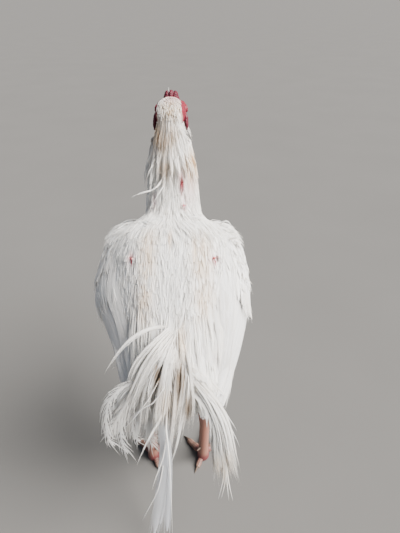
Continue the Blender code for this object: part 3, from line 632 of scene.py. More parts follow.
def mix_colours(tree, share, first, second, blend="MIX"):
    made = add_node(tree, "ShaderNodeMix", data_type="RGBA", blend_type=blend)
    for k, value in ((0, share), (6, first), (7, second)):
        if isinstance(value, (int, float)):
            made.inputs[k].default_value = value
        elif isinstance(value, tuple):
            made.inputs[k].default_value = (*value, 1.0)
        else:
            tree.links.new(value, made.inputs[k])
    return made.outputs[2]


def group_socket(tree, name, kind, way, value=None):
    made = tree.interface.new_socket(name=name, in_out=way, socket_type=kind)
    if value is not None:
        made.default_value = value
    return made


def mottle_group():
    """Uneven colour: two sizes of soft patches as one mask, and a fine grain as another."""
    tree = bpy.data.node_groups.new("mottle", "ShaderNodeTree")
    group_socket(tree, "Patch size", "NodeSocketFloat", "INPUT", 60.0)
    group_socket(tree, "Grain size", "NodeSocketFloat", "INPUT", 900.0)
    group_socket(tree, "Patches", "NodeSocketFloat", "OUTPUT")
    group_socket(tree, "Grain", "NodeSocketFloat", "OUTPUT")
    way_in = tree.nodes.new("NodeGroupInput")
    way_out = tree.nodes.new("NodeGroupOutput")
    place = tree.nodes.new("ShaderNodeTexCoord")
    broad = add_node(tree, "ShaderNodeTexNoise")
    broad.inputs["Detail"].default_value = 3.0
    fine = add_node(tree, "ShaderNodeTexNoise")
    fine.inputs["Detail"].default_value = 2.0
    for texture, size in ((broad, "Patch size"), (fine, "Grain size")):
        tree.links.new(place.outputs["Object"], texture.inputs["Vector"])
        tree.links.new(way_in.outputs[size], texture.inputs["Scale"])
    tree.links.new(broad.outputs["Fac"], way_out.inputs["Patches"])
    tree.links.new(fine.outputs["Fac"], way_out.inputs["Grain"])
    return tree


def barb_group():
    """The fine slanting ribs of a feather's vane, from its own plume attribute."""
    tree = bpy.data.node_groups.new("barbs", "ShaderNodeTree")
    group_socket(tree, "Ribs", "NodeSocketFloat", "INPUT", 60.0)
    for name in ("Height", "Along", "Across", "Chance", "Warmth"):
        group_socket(tree, name, "NodeSocketFloat", "OUTPUT")
    way_in = tree.nodes.new("NodeGroupInput")
    way_out = tree.nodes.new("NodeGroupOutput")
    along, across, chance, warmth = channels_of(tree, "plume")
    slant = math_node(tree, "SUBTRACT", along, math_node(tree, "MULTIPLY", across, 0.22))
    ribs = math_node(tree, "SINE", math_node(tree, "MULTIPLY", slant, way_in.outputs["Ribs"]))
    quill = math_node(tree, "LESS_THAN", across, 0.10)
    height = math_node(tree, "ADD", math_node(tree, "MULTIPLY", ribs, 0.5), quill)
    found = (
        ("Height", height), ("Along", along), ("Across", across), ("Chance", chance), ("Warmth", warmth)
    )
    for name, value in found:
        tree.links.new(value, way_out.inputs[name])
    return tree


MOTTLE = mottle_group()
BARBS = barb_group()


def placed_group(tree, group, **values):
    made = add_node(tree, "ShaderNodeGroup", node_tree=group)
    set_inputs(made, **values)
    return made


def ranged(tree, value, low, high, most=1.0):
    """A value's place between low and high, from 0 to most."""
    made = add_node(tree, "ShaderNodeMapRange")
    tree.links.new(value, made.inputs["Value"])
    set_inputs(made, From_Min=low, From_Max=high, To_Max=most)
    return made.outputs["Result"]


def add_bump(tree, shader, height, strength, distance):
    made = tree.nodes.new("ShaderNodeBump")
    made.inputs["Strength"].default_value = strength
    made.inputs["Distance"].default_value = distance
    tree.links.new(height, made.inputs["Height"])
    tree.links.new(made.outputs["Normal"], shader.inputs["Normal"])


def feather_material(name, tip, root, warm, ribs):
    """Soft feather: greyer at its root, marked as the skin is, ribbed by its barbs."""
    material = bpy.data.materials.new(name)
    tree, shader = nodes_of(material)
    barbs = placed_group(tree, BARBS, Ribs=ribs)
    mottle = placed_group(tree, MOTTLE, Patch_size=30.0, Grain_size=1500.0)
    colour = mix_colours(tree, ranged(tree, barbs.outputs["Along"], 0.05, 0.55), root, tip)
    warmth, raw, soil = channels_of(tree, "marks")[:3]
    streak = math_node(tree, "MULTIPLY_ADD", barbs.outputs["Chance"], 0.9, 0.35)
    warmth = math_node(tree, "MULTIPLY_ADD", warmth, streak, barbs.outputs["Warmth"])
    colour = mix_colours(tree, warmth, colour, warm)
    shade = math_node(tree, "MULTIPLY_ADD", barbs.outputs["Chance"], 0.07, 0.93)
    shade = math_node(
        tree, "MULTIPLY_ADD", mottle.outputs["Patches"], 0.10, math_node(tree, "SUBTRACT", shade, 0.03)
    )
    bright = add_node(tree, "ShaderNodeCombineColor")
    for k in range(3):
        tree.links.new(shade, bright.inputs[k])
    colour = mix_colours(tree, 1.0, colour, bright.outputs["Color"], "MULTIPLY")
    colour = mix_colours(tree, math_node(tree, "MULTIPLY", soil, streak), colour, (0.20, 0.135, 0.083))
    colour = mix_colours(tree, raw, colour, (0.50, 0.07, 0.10))
    tree.links.new(colour, shader.inputs["Base Color"])
    set_inputs(shader, Roughness=0.78, Specular_IOR_Level=0.25, Sheen_Weight=0.20, Sheen_Roughness=0.5)
    set_inputs(shader, Subsurface_Weight=0.40, Subsurface_Radius=(0.006, 0.005, 0.004), Subsurface_Scale=1.0)
    add_bump(tree, shader, barbs.outputs["Height"], 0.30, 0.00012)
    return material


def skin_material(name, red, pale, reach):
    """Bare skin: pebbled and red where its own attribute says so, pale and downy elsewhere."""
    material = bpy.data.materials.new(name)
    tree, shader = nodes_of(material)
    mottle = placed_group(tree, MOTTLE, Patch_size=150.0, Grain_size=1400.0)
    deep = tuple(value * 0.45 for value in red)
    flesh = mix_colours(tree, mottle.outputs["Patches"], deep, red)
    if reach:
        warmth, raw, soil = channels_of(tree, "marks")[:3]
        down = mix_colours(tree, warmth, pale, (0.70, 0.50, 0.32))
        down = mix_colours(tree, soil, down, (0.24, 0.165, 0.105))
        down = mix_colours(tree, raw, down, (0.62, 0.16, 0.17))
        flesh = mix_colours(tree, attribute_of(tree, "bare")["Fac"], down, flesh)
    tree.links.new(flesh, shader.inputs["Base Color"])
    rough = math_node(tree, "MULTIPLY_ADD", mottle.outputs["Grain"], 0.25, 0.38)
    tree.links.new(rough, shader.inputs["Roughness"])
    set_inputs(
        shader, Subsurface_Weight=0.15, Subsurface_Radius=(0.003, 0.001, 0.0006), Subsurface_Scale=1.0
    )
    height = math_node(
        tree, "ADD", mottle.outputs["Grain"], math_node(tree, "MULTIPLY", mottle.outputs["Patches"], 0.8)
    )
    add_bump(tree, shader, height, 0.5, 0.0005)
    return material


def scale_material(name, front, back, edge):
    """Leg scales: pink in front, paler behind, darker in their grooves; the front and the red low down are
    darkened partly as painted shade.
    """
    material = bpy.data.materials.new(name)
    tree, shader = nodes_of(material)
    mottle = placed_group(tree, MOTTLE, Patch_size=90.0, Grain_size=1600.0)
    groove, behind, low = channels_of(tree, "scute")[:3]
    colour = mix_colours(tree, behind, front, back)
    colour = mix_colours(tree, ranged(tree, mottle.outputs["Patches"], 0.35, 0.65, 0.35), colour, edge)
    # Deep red low on the shank and over the pad: the skin's red, darkened partly as painted shade
    colour = mix_colours(tree, math_node(tree, "MULTIPLY", low, 0.85), colour, (0.13, 0.020, 0.029))
    colour = mix_colours(tree, math_node(tree, "MULTIPLY", groove, 0.85), colour, (0.13, 0.055, 0.04))
    tree.links.new(colour, shader.inputs["Base Color"])
    rough = math_node(tree, "MULTIPLY_ADD", mottle.outputs["Grain"], 0.25, 0.38)
    tree.links.new(rough, shader.inputs["Roughness"])
    set_inputs(shader, Subsurface_Weight=0.08, Subsurface_Radius=(0.003, 0.0015, 0.001))
    add_bump(tree, shader, mottle.outputs["Grain"], 0.3, 0.0002)
    return material


def horn_material(name, light, dark, axis_scale):
    """Horn of the bill, claws and spurs: mottled in soft patches."""
    material = bpy.data.materials.new(name)
    tree, shader = nodes_of(material)
    mottle = placed_group(tree, MOTTLE, Patch_size=axis_scale, Grain_size=1200.0)
    colour = mix_colours(tree, mottle.outputs["Patches"], dark, light)
    tree.links.new(colour, shader.inputs["Base Color"])
    rough = math_node(tree, "MULTIPLY_ADD", mottle.outputs["Grain"], 0.2, 0.46)
    tree.links.new(rough, shader.inputs["Roughness"])
    shader.inputs["Specular IOR Level"].default_value = 0.35
    add_bump(tree, shader, mottle.outputs["Grain"], 0.2, 0.0002)
    return material


def eye_material():
    """A pale pearl iris round a black pupil, under a wet surface."""
    material = bpy.data.materials.new("eye_pearl")
    tree, shader = nodes_of(material)
    ramp = tree.nodes.new("ShaderNodeValToRGB")
    ramp.color_ramp.elements[0].position = 0.40
    ramp.color_ramp.elements[0].color = (0.005, 0.005, 0.006, 1)
    ramp.color_ramp.elements[1].position = 0.44
    ramp.color_ramp.elements[1].color = (0.78, 0.62, 0.36, 1)
    for place, colour in (
        (0.70, (0.86, 0.78, 0.60, 1)), (0.86, (0.40, 0.22, 0.12, 1)), (0.94, (0.10, 0.04, 0.03, 1))
    ):
        stop = ramp.color_ramp.elements.new(place)
        stop.color = colour
    tree.links.new(attribute_of(tree, "iris")["Fac"], ramp.inputs["Fac"])
    tree.links.new(ramp.outputs["Color"], shader.inputs["Base Color"])
    set_inputs(shader, Roughness=0.06, Coat_Weight=1.0, Coat_Roughness=0.03)
    return material


# Feathers


def outline(kind, share):
    """Half width of a feather along its length, as a share of its widest."""
    if kind == "round":
        rise = 0.38 + 0.62 * math.sin(min(share / 0.55, 1.0) * math.pi / 2)
        fall = math.sqrt(max(1 - (max(share - 0.62, 0) / 0.385) ** 2.2, 0.0))
        return rise * fall
    if kind == "hackle":
        rise = 0.55 + 0.45 * math.sin(min(share / 0.30, 1.0) * math.pi / 2)
        fall = 1 - (max(share - 0.30, 0) / 0.705) ** 1.5
        return rise * max(fall, 0.0)
    rise = 0.30 + 0.70 * math.sin(min(share / 0.22, 1.0) * math.pi / 2)
    fall = math.sqrt(max(1 - (max(share - 0.80, 0) / 0.205) ** 2.0, 0.0))
    return rise * fall


class Blank:
    """One pattern of feather: a thin closed vane, with slivers of barb along both edges, each closed too."""

    def __init__(self, seed, kind, segments, ribs, barbs, barb_steps, solid, ragged, sweep, slim=1.0):
        self.points, self.faces = [], []
        self.vane(kind, segments, ribs, solid)
        chance = random.Random(seed)
        step = 0.95 / max(barbs, 1)
        for side in (-1, 1):
            for i in range(barbs):
                start = 0.03 + (i + chance.uniform(-0.3, 0.3)) * step
                width = step * chance.uniform(0.7, 1.2) * slim
                reach = max(outline(kind, start) * chance.uniform(1 - ragged, 1 + 0.4 * ragged), 0.12)
                ahead = sweep * chance.uniform(0.7, 1.3)
                self.barb(
                    side, start, width, outline(kind, start) * solid * 0.95, reach, ahead, barb_steps,
                    chance
                )
        self.points = np.array(self.points)
        self.faces = np.array(self.faces)

    def vane(self, kind, segments, ribs, solid):
        top = max(ribs, 1)
        inner = [2 * (k + 1) / (top + 1) - 1 for k in range(top)]
        under = list(reversed(inner)) if ribs else []
        ring = 2 + len(inner) + len(under)
        for i in range(segments + 1):
            share = (i / segments) ** 0.9
            half = max(outline(kind, share) * solid, 0.02)
            self.points.append((share, -half, 0.0))
            self.points += [(share, half * place, QUILL * (1.8 - abs(place))) for place in inner]
            self.points.append((share, half, 0.0))
            self.points += [(share, half * place, QUILL * (0.4 - abs(place))) for place in under]
        for row in range(segments):
            for k in range(ring):
                a, b = row * ring + k, row * ring + (k + 1) % ring
                self.faces += [(a, a + ring, b + ring), (a, b + ring, b)]
        last = segments * ring
        for k in range(1, ring - 1):
            self.faces.append((0, k, k + 1))
            self.faces.append((last, last + k + 1, last + k))

    def barb(self, side, start, width, half, reach, ahead, steps, chance):
        first = len(self.points)
        droop = chance.uniform(-3.0, 0.8) * QUILL
        for j in range(steps):
            t = j / steps
            thin = 1 - 0.6 * t
            middle = start + width / 2 + ahead * (0.5 * t + 0.5 * t * t)
            out = half + (reach - half) * t
            lift = droop * t * t
            self.points.append((middle - width / 2 * thin, side * (out + 0.02), lift))
            self.points.append((middle + width / 2 * thin, side * (out - 0.02), lift))
            self.points.append((middle, side * out, lift + QUILL * 1.3 * thin))
        self.points.append((start + width / 2 + ahead, side * reach, droop))
        tip = len(self.points) - 1
        loop = [(0, 2, 1)]
        for j in range(steps - 1):
            for k in range(3):
                a, b = 3 * j + k, 3 * j + (k + 1) % 3
                loop += [(a, b, b + 3), (a, b + 3, a + 3)]
        last = 3 * (steps - 1)
        loop += [(last + k, last + (k + 1) % 3, tip - first) for k in range(3)]
        if side < 0:
            loop = [(a, c, b) for a, b, c in loop]
        self.faces += [(first + a, first + b, first + c) for a, b, c in loop]


def blanks(count, *pattern):
    return [Blank(SEED * 31 + k, *pattern) for k in range(count)]


# Pattern: kind, segments, ribs, barbs a side, steps of each, solid share, raggedness, sweep, slimness
SMOOTH = ("round", 4, 0, 4, 1, 0.80, 0.20, 0.16)
LOOSE = ("round", 4, 0, 5, 1, 0.60, 0.45, 0.28)
HACKLE = ("hackle", 5, 0, 4, 1, 0.66, 0.50, 0.22)
FINE = ("round", 3, 0, 0, 1, 0.90, 0.0, 0.0)
WISP = ("hackle", 4, 0, 0, 1, 1.00, 0.0, 0.0)
FLIGHT = ("flight", 12, 3, 22, 1, 0.86, 0.25, 0.09)
OPEN = ("flight", 14, 1, 22, 3, 0.16, 0.35, 0.20, 0.50)
BLADE = ("flight", 16, 3, 26, 2, 0.60, 0.50, 0.17, 0.8)
VANE = ("flight", 16, 3, 26, 2, 0.80, 0.22, 0.15, 0.9)
SOFT = ("hackle", 8, 0, 14, 2, 0.30, 0.45, 0.22, 0.6)
STREAMER = ("hackle", 12, 1, 12, 2, 0.80, 0.50, 0.14, 0.8)


def node_tree(name, *inputs):
    """A tree of geometry nodes with named inputs, its way in and its way out."""
    tree = bpy.data.node_groups.new(name, "GeometryNodeTree")
    tree.is_modifier = True
    group_socket(tree, "Geometry", "NodeSocketGeometry", "INPUT")
    for label, kind, value in inputs:
        group_socket(tree, label, kind, "INPUT", value)
    group_socket(tree, "Material", "NodeSocketMaterial", "INPUT")
    group_socket(tree, "Geometry", "NodeSocketGeometry", "OUTPUT")
    return tree, tree.nodes.new("NodeGroupInput"), tree.nodes.new("NodeGroupOutput")


def chained(tree, geometry, *nodes):
    """Links geometry through nodes in turn, and gives the last one's output."""
    for node in nodes:
        tree.links.new(geometry, node.inputs[0])
        geometry = node.outputs[0]
    return geometry


def named_value(tree, name):
    made = add_node(tree, "GeometryNodeInputNamedAttribute", data_type="FLOAT")
    made.inputs["Name"].default_value = name
    return made.outputs["Attribute"]


def strand_tree():
    """Tapered strands along chains of edges, from each chain's own half width and share along it."""
    tree, way_in, way_out = node_tree(
        "strands", ("Thickness", "NodeSocketFloat", 1.0), ("Steps", "NodeSocketInt", 10), (
            "Sides", "NodeSocketInt", 4
        )
    )
    to_curve = tree.nodes.new("GeometryNodeMeshToCurve")
    bend = add_node(tree, "GeometryNodeCurveSplineType", spline_type="CATMULL_ROM")
    even = add_node(tree, "GeometryNodeResampleCurve", mode="COUNT")
    tree.links.new(way_in.outputs["Steps"], even.inputs["Count"])
    along = named_value(tree, "along")
    taper = math_node(tree, "SUBTRACT", 1.03, math_node(tree, "POWER", along, 2.4))
    half = math_node(tree, "MULTIPLY", named_value(tree, "half"), way_in.outputs["Thickness"])
    profile = add_node(tree, "GeometryNodeCurvePrimitiveCircle", mode="RADIUS")
    profile.inputs["Radius"].default_value = 1.0
    tree.links.new(way_in.outputs["Sides"], profile.inputs["Resolution"])
    solid = tree.nodes.new("GeometryNodeCurveToMesh")
    solid.inputs["Fill Caps"].default_value = True
    tree.links.new(profile.outputs["Curve"], solid.inputs["Profile Curve"])
    tree.links.new(math_node(tree, "MULTIPLY", half, taper), solid.inputs["Scale"])
    realize = tree.nodes.new("GeometryNodeRealizeInstances")
    dress = tree.nodes.new("GeometryNodeSetMaterial")
    tree.links.new(way_in.outputs["Material"], dress.inputs["Material"])
    made = chained(tree, way_in.outputs["Geometry"], to_curve, bend, even, solid, realize, dress)
    tree.links.new(made, way_out.inputs["Geometry"])
    return tree


def bead_tree():
    """Small round bumps scattered over a skin, where its bare attribute or the input asks for them."""
    tree, way_in, way_out = node_tree(
        "beads",
        ("Density", "NodeSocketFloat", 200000.0),
        ("Everywhere", "NodeSocketFloat", 0.0),
        ("Size", "NodeSocketFloat", 0.0005),
        ("Seed", "NodeSocketInt", SEED),
    )
    scatter = add_node(tree, "GeometryNodeDistributePointsOnFaces", distribute_method="RANDOM")
    wanted = math_node(tree, "MAXIMUM", named_value(tree, "bare"), way_in.outputs["Everywhere"])
    tree.links.new(math_node(tree, "MULTIPLY", wanted, way_in.outputs["Density"]), scatter.inputs["Density"])
    tree.links.new(way_in.outputs["Seed"], scatter.inputs["Seed"])
    bead = tree.nodes.new("GeometryNodeMeshIcoSphere")
    bead.inputs["Subdivisions"].default_value = 1
    chance = add_node(tree, "FunctionNodeRandomValue", data_type="FLOAT")
    chance.inputs[2].default_value = 0.55
    chance.inputs[3].default_value = 1.25
    tree.links.new(way_in.outputs["Seed"], chance.inputs["Seed"])
    size = math_node(tree, "MULTIPLY", chance.outputs[1], way_in.outputs["Size"])
    set_on = tree.nodes.new("GeometryNodeInstanceOnPoints")
    tree.links.new(bead.outputs["Mesh"], set_on.inputs["Instance"])
    tree.links.new(scatter.outputs["Rotation"], set_on.inputs["Rotation"])
    tree.links.new(size, set_on.inputs["Scale"])
    beads = chained(tree, way_in.outputs["Geometry"], scatter, set_on)
    together = tree.nodes.new("GeometryNodeJoinGeometry")
    tree.links.new(beads, together.inputs[0])
    tree.links.new(way_in.outputs["Geometry"], together.inputs[0])
    realize = tree.nodes.new("GeometryNodeRealizeInstances")
    dress = tree.nodes.new("GeometryNodeSetMaterial")
    tree.links.new(way_in.outputs["Material"], dress.inputs["Material"])
    tree.links.new(chained(tree, together.outputs[0], realize, dress), way_out.inputs["Geometry"])
    return tree


STRANDS = strand_tree()
BEADS = bead_tree()


def grown(obj, tree, **values):
    """Runs a tree of geometry nodes on an object and keeps the result as its mesh."""
    step = obj.modifiers.new(tree.name, "NODES")
    step.node_group = tree
    for item in tree.interface.items_tree:
        if item.item_type == "SOCKET" and item.in_out == "INPUT" and item.name in values:
            step[item.identifier] = values[item.name]
    return evaluated(obj)


class Strands:
    """Fine tapered strands gathered for one piece, then grown along their paths."""

    def __init__(self, name, steps=10, sides=4):
        self.name = name
        self.steps = steps
        self.sides = sides
        self.paths, self.halves, self.bakes = [], [], []

    def add(self, path, ups, half, bake, warmth=0.0, camber=0.0):
        self.paths.append([tuple(point) for point in path])
        self.halves.append(half)
        self.bakes.append(bake)

    def build(self, material, slot, *nodes):
        count, size = len(self.paths), len(self.paths[0])
        points = np.array(self.paths).reshape(-1, 3)
        firsts = np.arange(count)[:, None] * size + np.arange(size - 1)[None, :]
        edges = np.stack([firsts.ravel(), firsts.ravel() + 1], axis=1)
        data = bpy.data.meshes.new(self.name)
        data.from_pydata(points.tolist(), edges.tolist(), [])
        chances = dice.random(count)
        for label, values in (
            ("along", np.tile(np.linspace(0, 1, size), count)),
            ("half", np.repeat(self.halves, size)),
            ("own", np.repeat(np.arange(count), size)),
        ):
            put_values(data, label, values)
        made = grown(linked(self.name, data), STRANDS, Steps=self.steps, Sides=self.sides, Material=material)
        data = made.data
        total = len(data.vertices)
        along, own = np.empty(total, dtype=np.float32), np.empty(total, dtype=np.float32)
        data.attributes["along"].data.foreach_get("value", along)
        data.attributes["own"].data.foreach_get("value", own)
        own = np.clip(np.round(own).astype(int), 0, count - 1)
        plume = np.stack(
            [np.clip(along, 0, 1), np.full(total, 0.5), chances[own], np.full(total, 0.03)], axis=1
        )
        put_values(data, "plume", plume)
        patch = np.stack([(np.arange(total) % self.sides) * 0.001 - 0.0015, (along - 0.5) * PATCH], axis=1)
        put_unwrap(data, np.array(self.bakes)[own] + patch)
        data.shade_smooth()
        with_marks(data)
        return finish(made, material, slot, *nodes)


class Plumage:
    """Feathers gathered for one piece of the coat, then made as one mesh."""

    def __init__(self, name, patterns, steps=5):
        self.name = name
        self.patterns = patterns
        self.steps = steps
        self.batches = [[] for _ in patterns]

    def add(self, path, ups, half, bake, warmth=0.0, camber=0.25):
        which = random.randrange(len(self.patterns))
        self.batches[which].append(
            ([tuple(p) for p in path], [tuple(u) for u in ups], half, camber, bake,
             (random.random(), warmth))
        )

    def build(self, material, slot, *nodes):
        places, faces, plumes, bakes = [], [], [], []
        first = 0
        for pattern, batch in zip(self.patterns, self.batches):
            if not batch:
                continue
            paths = np.array([item[0] for item in batch])
            ups = np.array([item[1] for item in batch])
            halves = np.array([item[2] for item in batch])[:, None]
            cambers = np.array([item[3] for item in batch])[:, None]
            roots = np.array([item[4] for item in batch])
            tints = np.array([item[5] for item in batch])
            share, side, height = pattern.points.T
            inside = np.clip(share, 0.0, 1.0)
            count = paths.shape[1]
            weights = curve_weights(inside, count)
            ahead = curve_weights(np.clip(inside + 0.02, 0, 1), count)
            behind = curve_weights(np.clip(inside - 0.02, 0, 1), count)
            centre = np.einsum("vk,fkc->fvc", weights, paths)
            along = np.einsum("vk,fkc->fvc", ahead - behind, paths)
            along /= np.linalg.norm(along, axis=2, keepdims=True)
            up = np.einsum("vk,fkc->fvc", weights, ups)
            across = np.cross(along, up)
            across /= np.linalg.norm(across, axis=2, keepdims=True)
            up = np.cross(across, along)
            lengths = np.linalg.norm(paths[:, 1:] - paths[:, :-1], axis=2).sum(1)[:, None]
            centre = centre + along * ((share - inside)[None, :] * lengths)[:, :, None]
            wide = side[None, :] * halves
            lift = height[None, :] - cambers * halves * side[None, :] ** 2
            made = centre + across * wide[:, :, None] + up * lift[:, :, None]
            places.append(made.reshape(-1, 3))
            size = len(pattern.points)
            offsets = first + np.arange(len(batch)) * size
            faces.append((pattern.faces[None, :, :] + offsets[:, None, None]).reshape(-1, 3))
            first += len(batch) * size
            plume = np.empty((len(batch), size, 4))
            plume[:, :, 0] = inside[None, :]
            plume[:, :, 1] = np.abs(side)[None, :]
            plume[:, :, 2] = tints[:, :1]
            plume[:, :, 3] = tints[:, 1:]
            plumes.append(plume.reshape(-1, 4))
            patch = np.stack([side * PATCH / 2, (inside - 0.5) * PATCH], axis=1)
            bakes.append((roots[:, None, :] + patch[None, :, :]).reshape(-1, 2))
        data = array_mesh(self.name, np.concatenate(places), np.concatenate(faces))
        put_values(data, "plume", np.concatenate(plumes))
        put_unwrap(data, np.concatenate(bakes))
        data.shade_smooth()
        data.set_sharp_from_angle(angle=math.radians(42))
        with_marks(data)
        return finish(linked(self.name, data), material, slot, *nodes)


def array_mesh(name, points, triangles):
    """A mesh straight from arrays of points and triangles."""
    data = bpy.data.meshes.new(name)
    data.vertices.add(len(points))
    data.vertices.foreach_set("co", points.astype(np.float32).ravel())
    data.loops.add(len(triangles) * 3)
    data.loops.foreach_set("vertex_index", triangles.astype(np.int32).ravel())
    data.polygons.add(len(triangles))
    data.polygons.foreach_set("loop_start", np.arange(0, len(triangles) * 3, 3, dtype=np.int32))
    data.update(calc_edges=True)
    data.validate()
    return data


# The skin


def clamped(value):
    return min(max(value, 0.0), 1.0)


def bare_share(point):
    """How bare and red the skin is: the face, its sides as far back as the ears, and the throat."""
    local = point - HEAD_CENTRE
    if point.z > 0.598:
        beside = clamped((abs(local.x + 0.0010) - 0.0122) / 0.004) * 0.027
        return clamped((local.y + 0.002 + beside + local.z * 0.20) / 0.008)
    if point.z > 0.550:
        narrow = (0.598 - point.z) * 0.42 + noise.noise(point * 160) * 0.003
        return clamped((local.y - 0.006 - narrow) / 0.006)
    return 0.0


def with_bare_attribute(obj):
    data = obj.data
    put_values(data, "bare", [bare_share(vert.co) for vert in data.vertices])
    with_marks(data)
    return obj


def eye_centre(side):
    return head_point(side * EYE_PLACE[0], EYE_PLACE[1], EYE_PLACE[2])


def eye_outward(side):
    return Vector((side * 0.93, 0.34, 0.12)).normalized()


def head_skin():
    """Skull, brows, eyelids, ears and cheeks run together, with the sockets, ears and mouth sunk in."""
    pieces = [tube("skull", head_form().rings(48, 48, grow=-0.0004))]
    pieces.append(tube("throat_skin", neck_form().rings(24, 40, 0.62, 1.0, grow=-0.0030)))
    for side in (-1, 1):
        centre, outward = eye_centre(side), eye_outward(side)
        pieces.append(hoop("lid", centre + outward * 0.0036, outward, 0.0054, 0.0016, 0.84))
        brow = head_point(side * 0.0142, 0.0130, 0.0112)
        turn = Vector((side * 0.25, 1.0, -0.18)).to_track_quat("X", "Z")
        pieces.append(ball("brow", brow, (0.0125, 0.0044, 0.0036), turn))
        ear = head_point(side * 0.0205, -0.0080, -0.0030)
        pieces.append(hoop("ear", ear, Vector((side, -0.1, -0.1)), 0.0042, 0.0013, 1.15, 28, 8))
        cheek = head_point(side * 0.0150, 0.0170, -0.0105)
        pieces.append(ball("cheek", cheek, (0.0060, 0.0110, 0.0062)))
    head = melted("head_skin", pieces, 0.0009, 3)

    def carve(place, normal):
        for side in (-1, 1):
            gap = place - eye_centre(side)
            if gap.length < EYE_RADIUS + 0.0002:
                place = eye_centre(side) + gap.normalized() * (EYE_RADIUS + 0.0002)
                push = (place - eye_centre(side)).dot(eye_outward(side))
                if push > 0.0035:
                    place = place - eye_outward(side) * (push - 0.0030) * 1.6
            ear = head_point(side * 0.0217, -0.0080, -0.0030)
            depth = 0.0036 - (place - ear).length
            if depth > 0:
                place = place - Vector((side, 0, 0)) * depth * 0.9
            local = place - HEAD_CENTRE
            line = -0.0088 - 0.06 * (0.042 - local.y)
            if local.y > 0.020 and abs(local.z - line) < 0.0016:
                place = place - normal * 0.0009 * (1 - abs(local.z - line) / 0.0016)
        place = place - normal * (0.0036 * clamped((0.580 - place.z) / 0.012))
        fold = noise.noise(place * 420) * 0.0004 + noise.noise(place * 1100) * 0.00022
        if place.y > HEAD_CENTRE.y - 0.008:
            place = place + normal * fold
        return place

    return moved_points(head, carve)


def body_skin():
    pieces = [
        tube("trunk", torso_form().rings(40, 48, grow=-TRUNK_COAT)),
        tube("neck_core", neck_form().rings(30, 36, 0.0, 0.80, grow=-NECK_COAT)),
    ]
    for side in (-1, 1):
        pieces.append(tube("thigh_core", thigh_form(side).rings(24, 28, grow=-THIGH_COAT * 0.75)))
        pieces.append(tube("wing_core", wing_core_rings(side)))
    rump = [
        (0.0, -0.092, 0.330, 0.016, 0.013, 0.013),
        (0.0, -0.108, 0.318, 0.018, 0.013, 0.012),
        (0.0, -0.120, 0.302, 0.018, 0.012, 0.011),
        (0.0, -0.127, 0.284, 0.012, 0.008, 0.007),
        (0.0, -0.131, 0.270, 0.003, 0.002, 0.002),
    ]
    pieces.append(tube("rump_core", Oval(rump, Vector((0, -1, 0))).rings(14, 24)))
    return melted("body_skin", pieces, 0.0029, 3)


# Tracts of feathers


def bake_spot(kind, share, turn):
    """Where a root lies on an unwrap of its own part of the skin."""
    tiles = {
        "torso": (0.02, 0.02, 0.44, 0.46),
        "neck": (0.02, 0.52, 0.44, 0.46),
        "thigh_right": (0.52, 0.02, 0.20, 0.30),
        "thigh_left": (0.76, 0.02, 0.20, 0.30),
        "wing_right": (0.52, 0.36, 0.20, 0.34),
        "wing_left": (0.76, 0.36, 0.20, 0.34),
        "head": (0.52, 0.74, 0.20, 0.22),
        "tail": (0.76, 0.74, 0.20, 0.22),
    }
    left, low, wide, tall = tiles[kind]
    return (left + wide * ((turn / (2 * math.pi)) % 1.0), low + tall * min(max(share, 0.0), 1.0))


def rows_on(form, start, end, spacing):
    """Places in staggered rows over a form, from its far end to its near one."""
    share = start
    row = 0
    while share > end:
        gap = spacing(share)
        count = max(int(form.girth(share) / gap), 3)
        for i in range(count):
            turn = 2 * math.pi * (i + 0.5 * (row % 2) + uniform(-0.35, 0.35)) / count
            yield share + uniform(-0.4, 0.4) * gap / form.length, turn
        share -= gap * 0.86 / form.length
        row += 1


def lock_of(turn, count, seed):
    """The middle of the lock that a feather belongs to, and a number of its own for that lock."""
    index = round(turn / (2 * math.pi) * count)
    own = math.sin(index * 12.9898 + seed * 78.233) * 43758.5453
    return index * 2 * math.pi / count, own - math.floor(own)


def rooted(point, surface):
    """A root just under the skin's surface, and the skin's direction there."""
    place, outward, _, _ = surface.find_nearest(point)
    return place - outward * 0.0006, outward


def draped(root, outward, heading, length, steps, lift, surfaces, fall=0.0, sway=0.0, cling=0.6):
    """The path of a feather that leaves its root along heading, hangs, and lies on what is under it."""
    path, ups = [root], [outward]
    ahead = (heading - outward * heading.dot(outward)).normalized()
    step = length / (steps - 1)
    for k in range(1, steps):
        share = k / (steps - 1)
        up = ups[-1]
        side = ahead.cross(up)
        ahead = (ahead + side * (sway / steps) + Vector((0, 0, -fall / steps))).normalized()
        point = path[-1] + ahead * step
        least = 0.0004 + (lift - 0.0004) * share
        for surface in surfaces:
            place, normal, _, _ = surface.find_nearest(point)
            gap = (point - place).dot(normal) - least
            if gap < 0:
                rise = outward if normal.dot(outward) > 0.2 else normal
                point = point - rise * (gap / max(rise.dot(normal), 0.4))
                up = normal
            elif gap < 0.020:
                point = point - normal * (gap * cling)
                up = normal
        ahead = (point - path[-1]).normalized()
        path.append(path[-1] + ahead * step)
        ups.append((up * 0.6 + ups[-1] * 0.4).normalized())
    return path, ups


def strung(root, outward, target, bulge, steps, lift, surfaces, facing=None):
    """The path of a feather from its root to a given tip, bowed outwards and kept off what is under it."""
    path, ups = [root], [outward]
    drop = (target - root).length
    for k in range(1, steps):
        share = k / (steps - 1)
        point = root.lerp(target, share) + bulge * (4 * share * (1 - share))
        least = 0.0004 + (lift - 0.0004) * share
        up = facing or (outward * (1 - share) + Vector((0, -0.85, 0.5)) * share).normalized()
        for surface in surfaces:
            place, normal, _, _ = surface.find_nearest(point)
            if (point - place).dot(normal) < least and (point - place).length < drop:
                point = place + normal * least
                up = normal
        path.append(point)
        ups.append((up * 0.6 + ups[-1] * 0.4).normalized())
    return path, ups


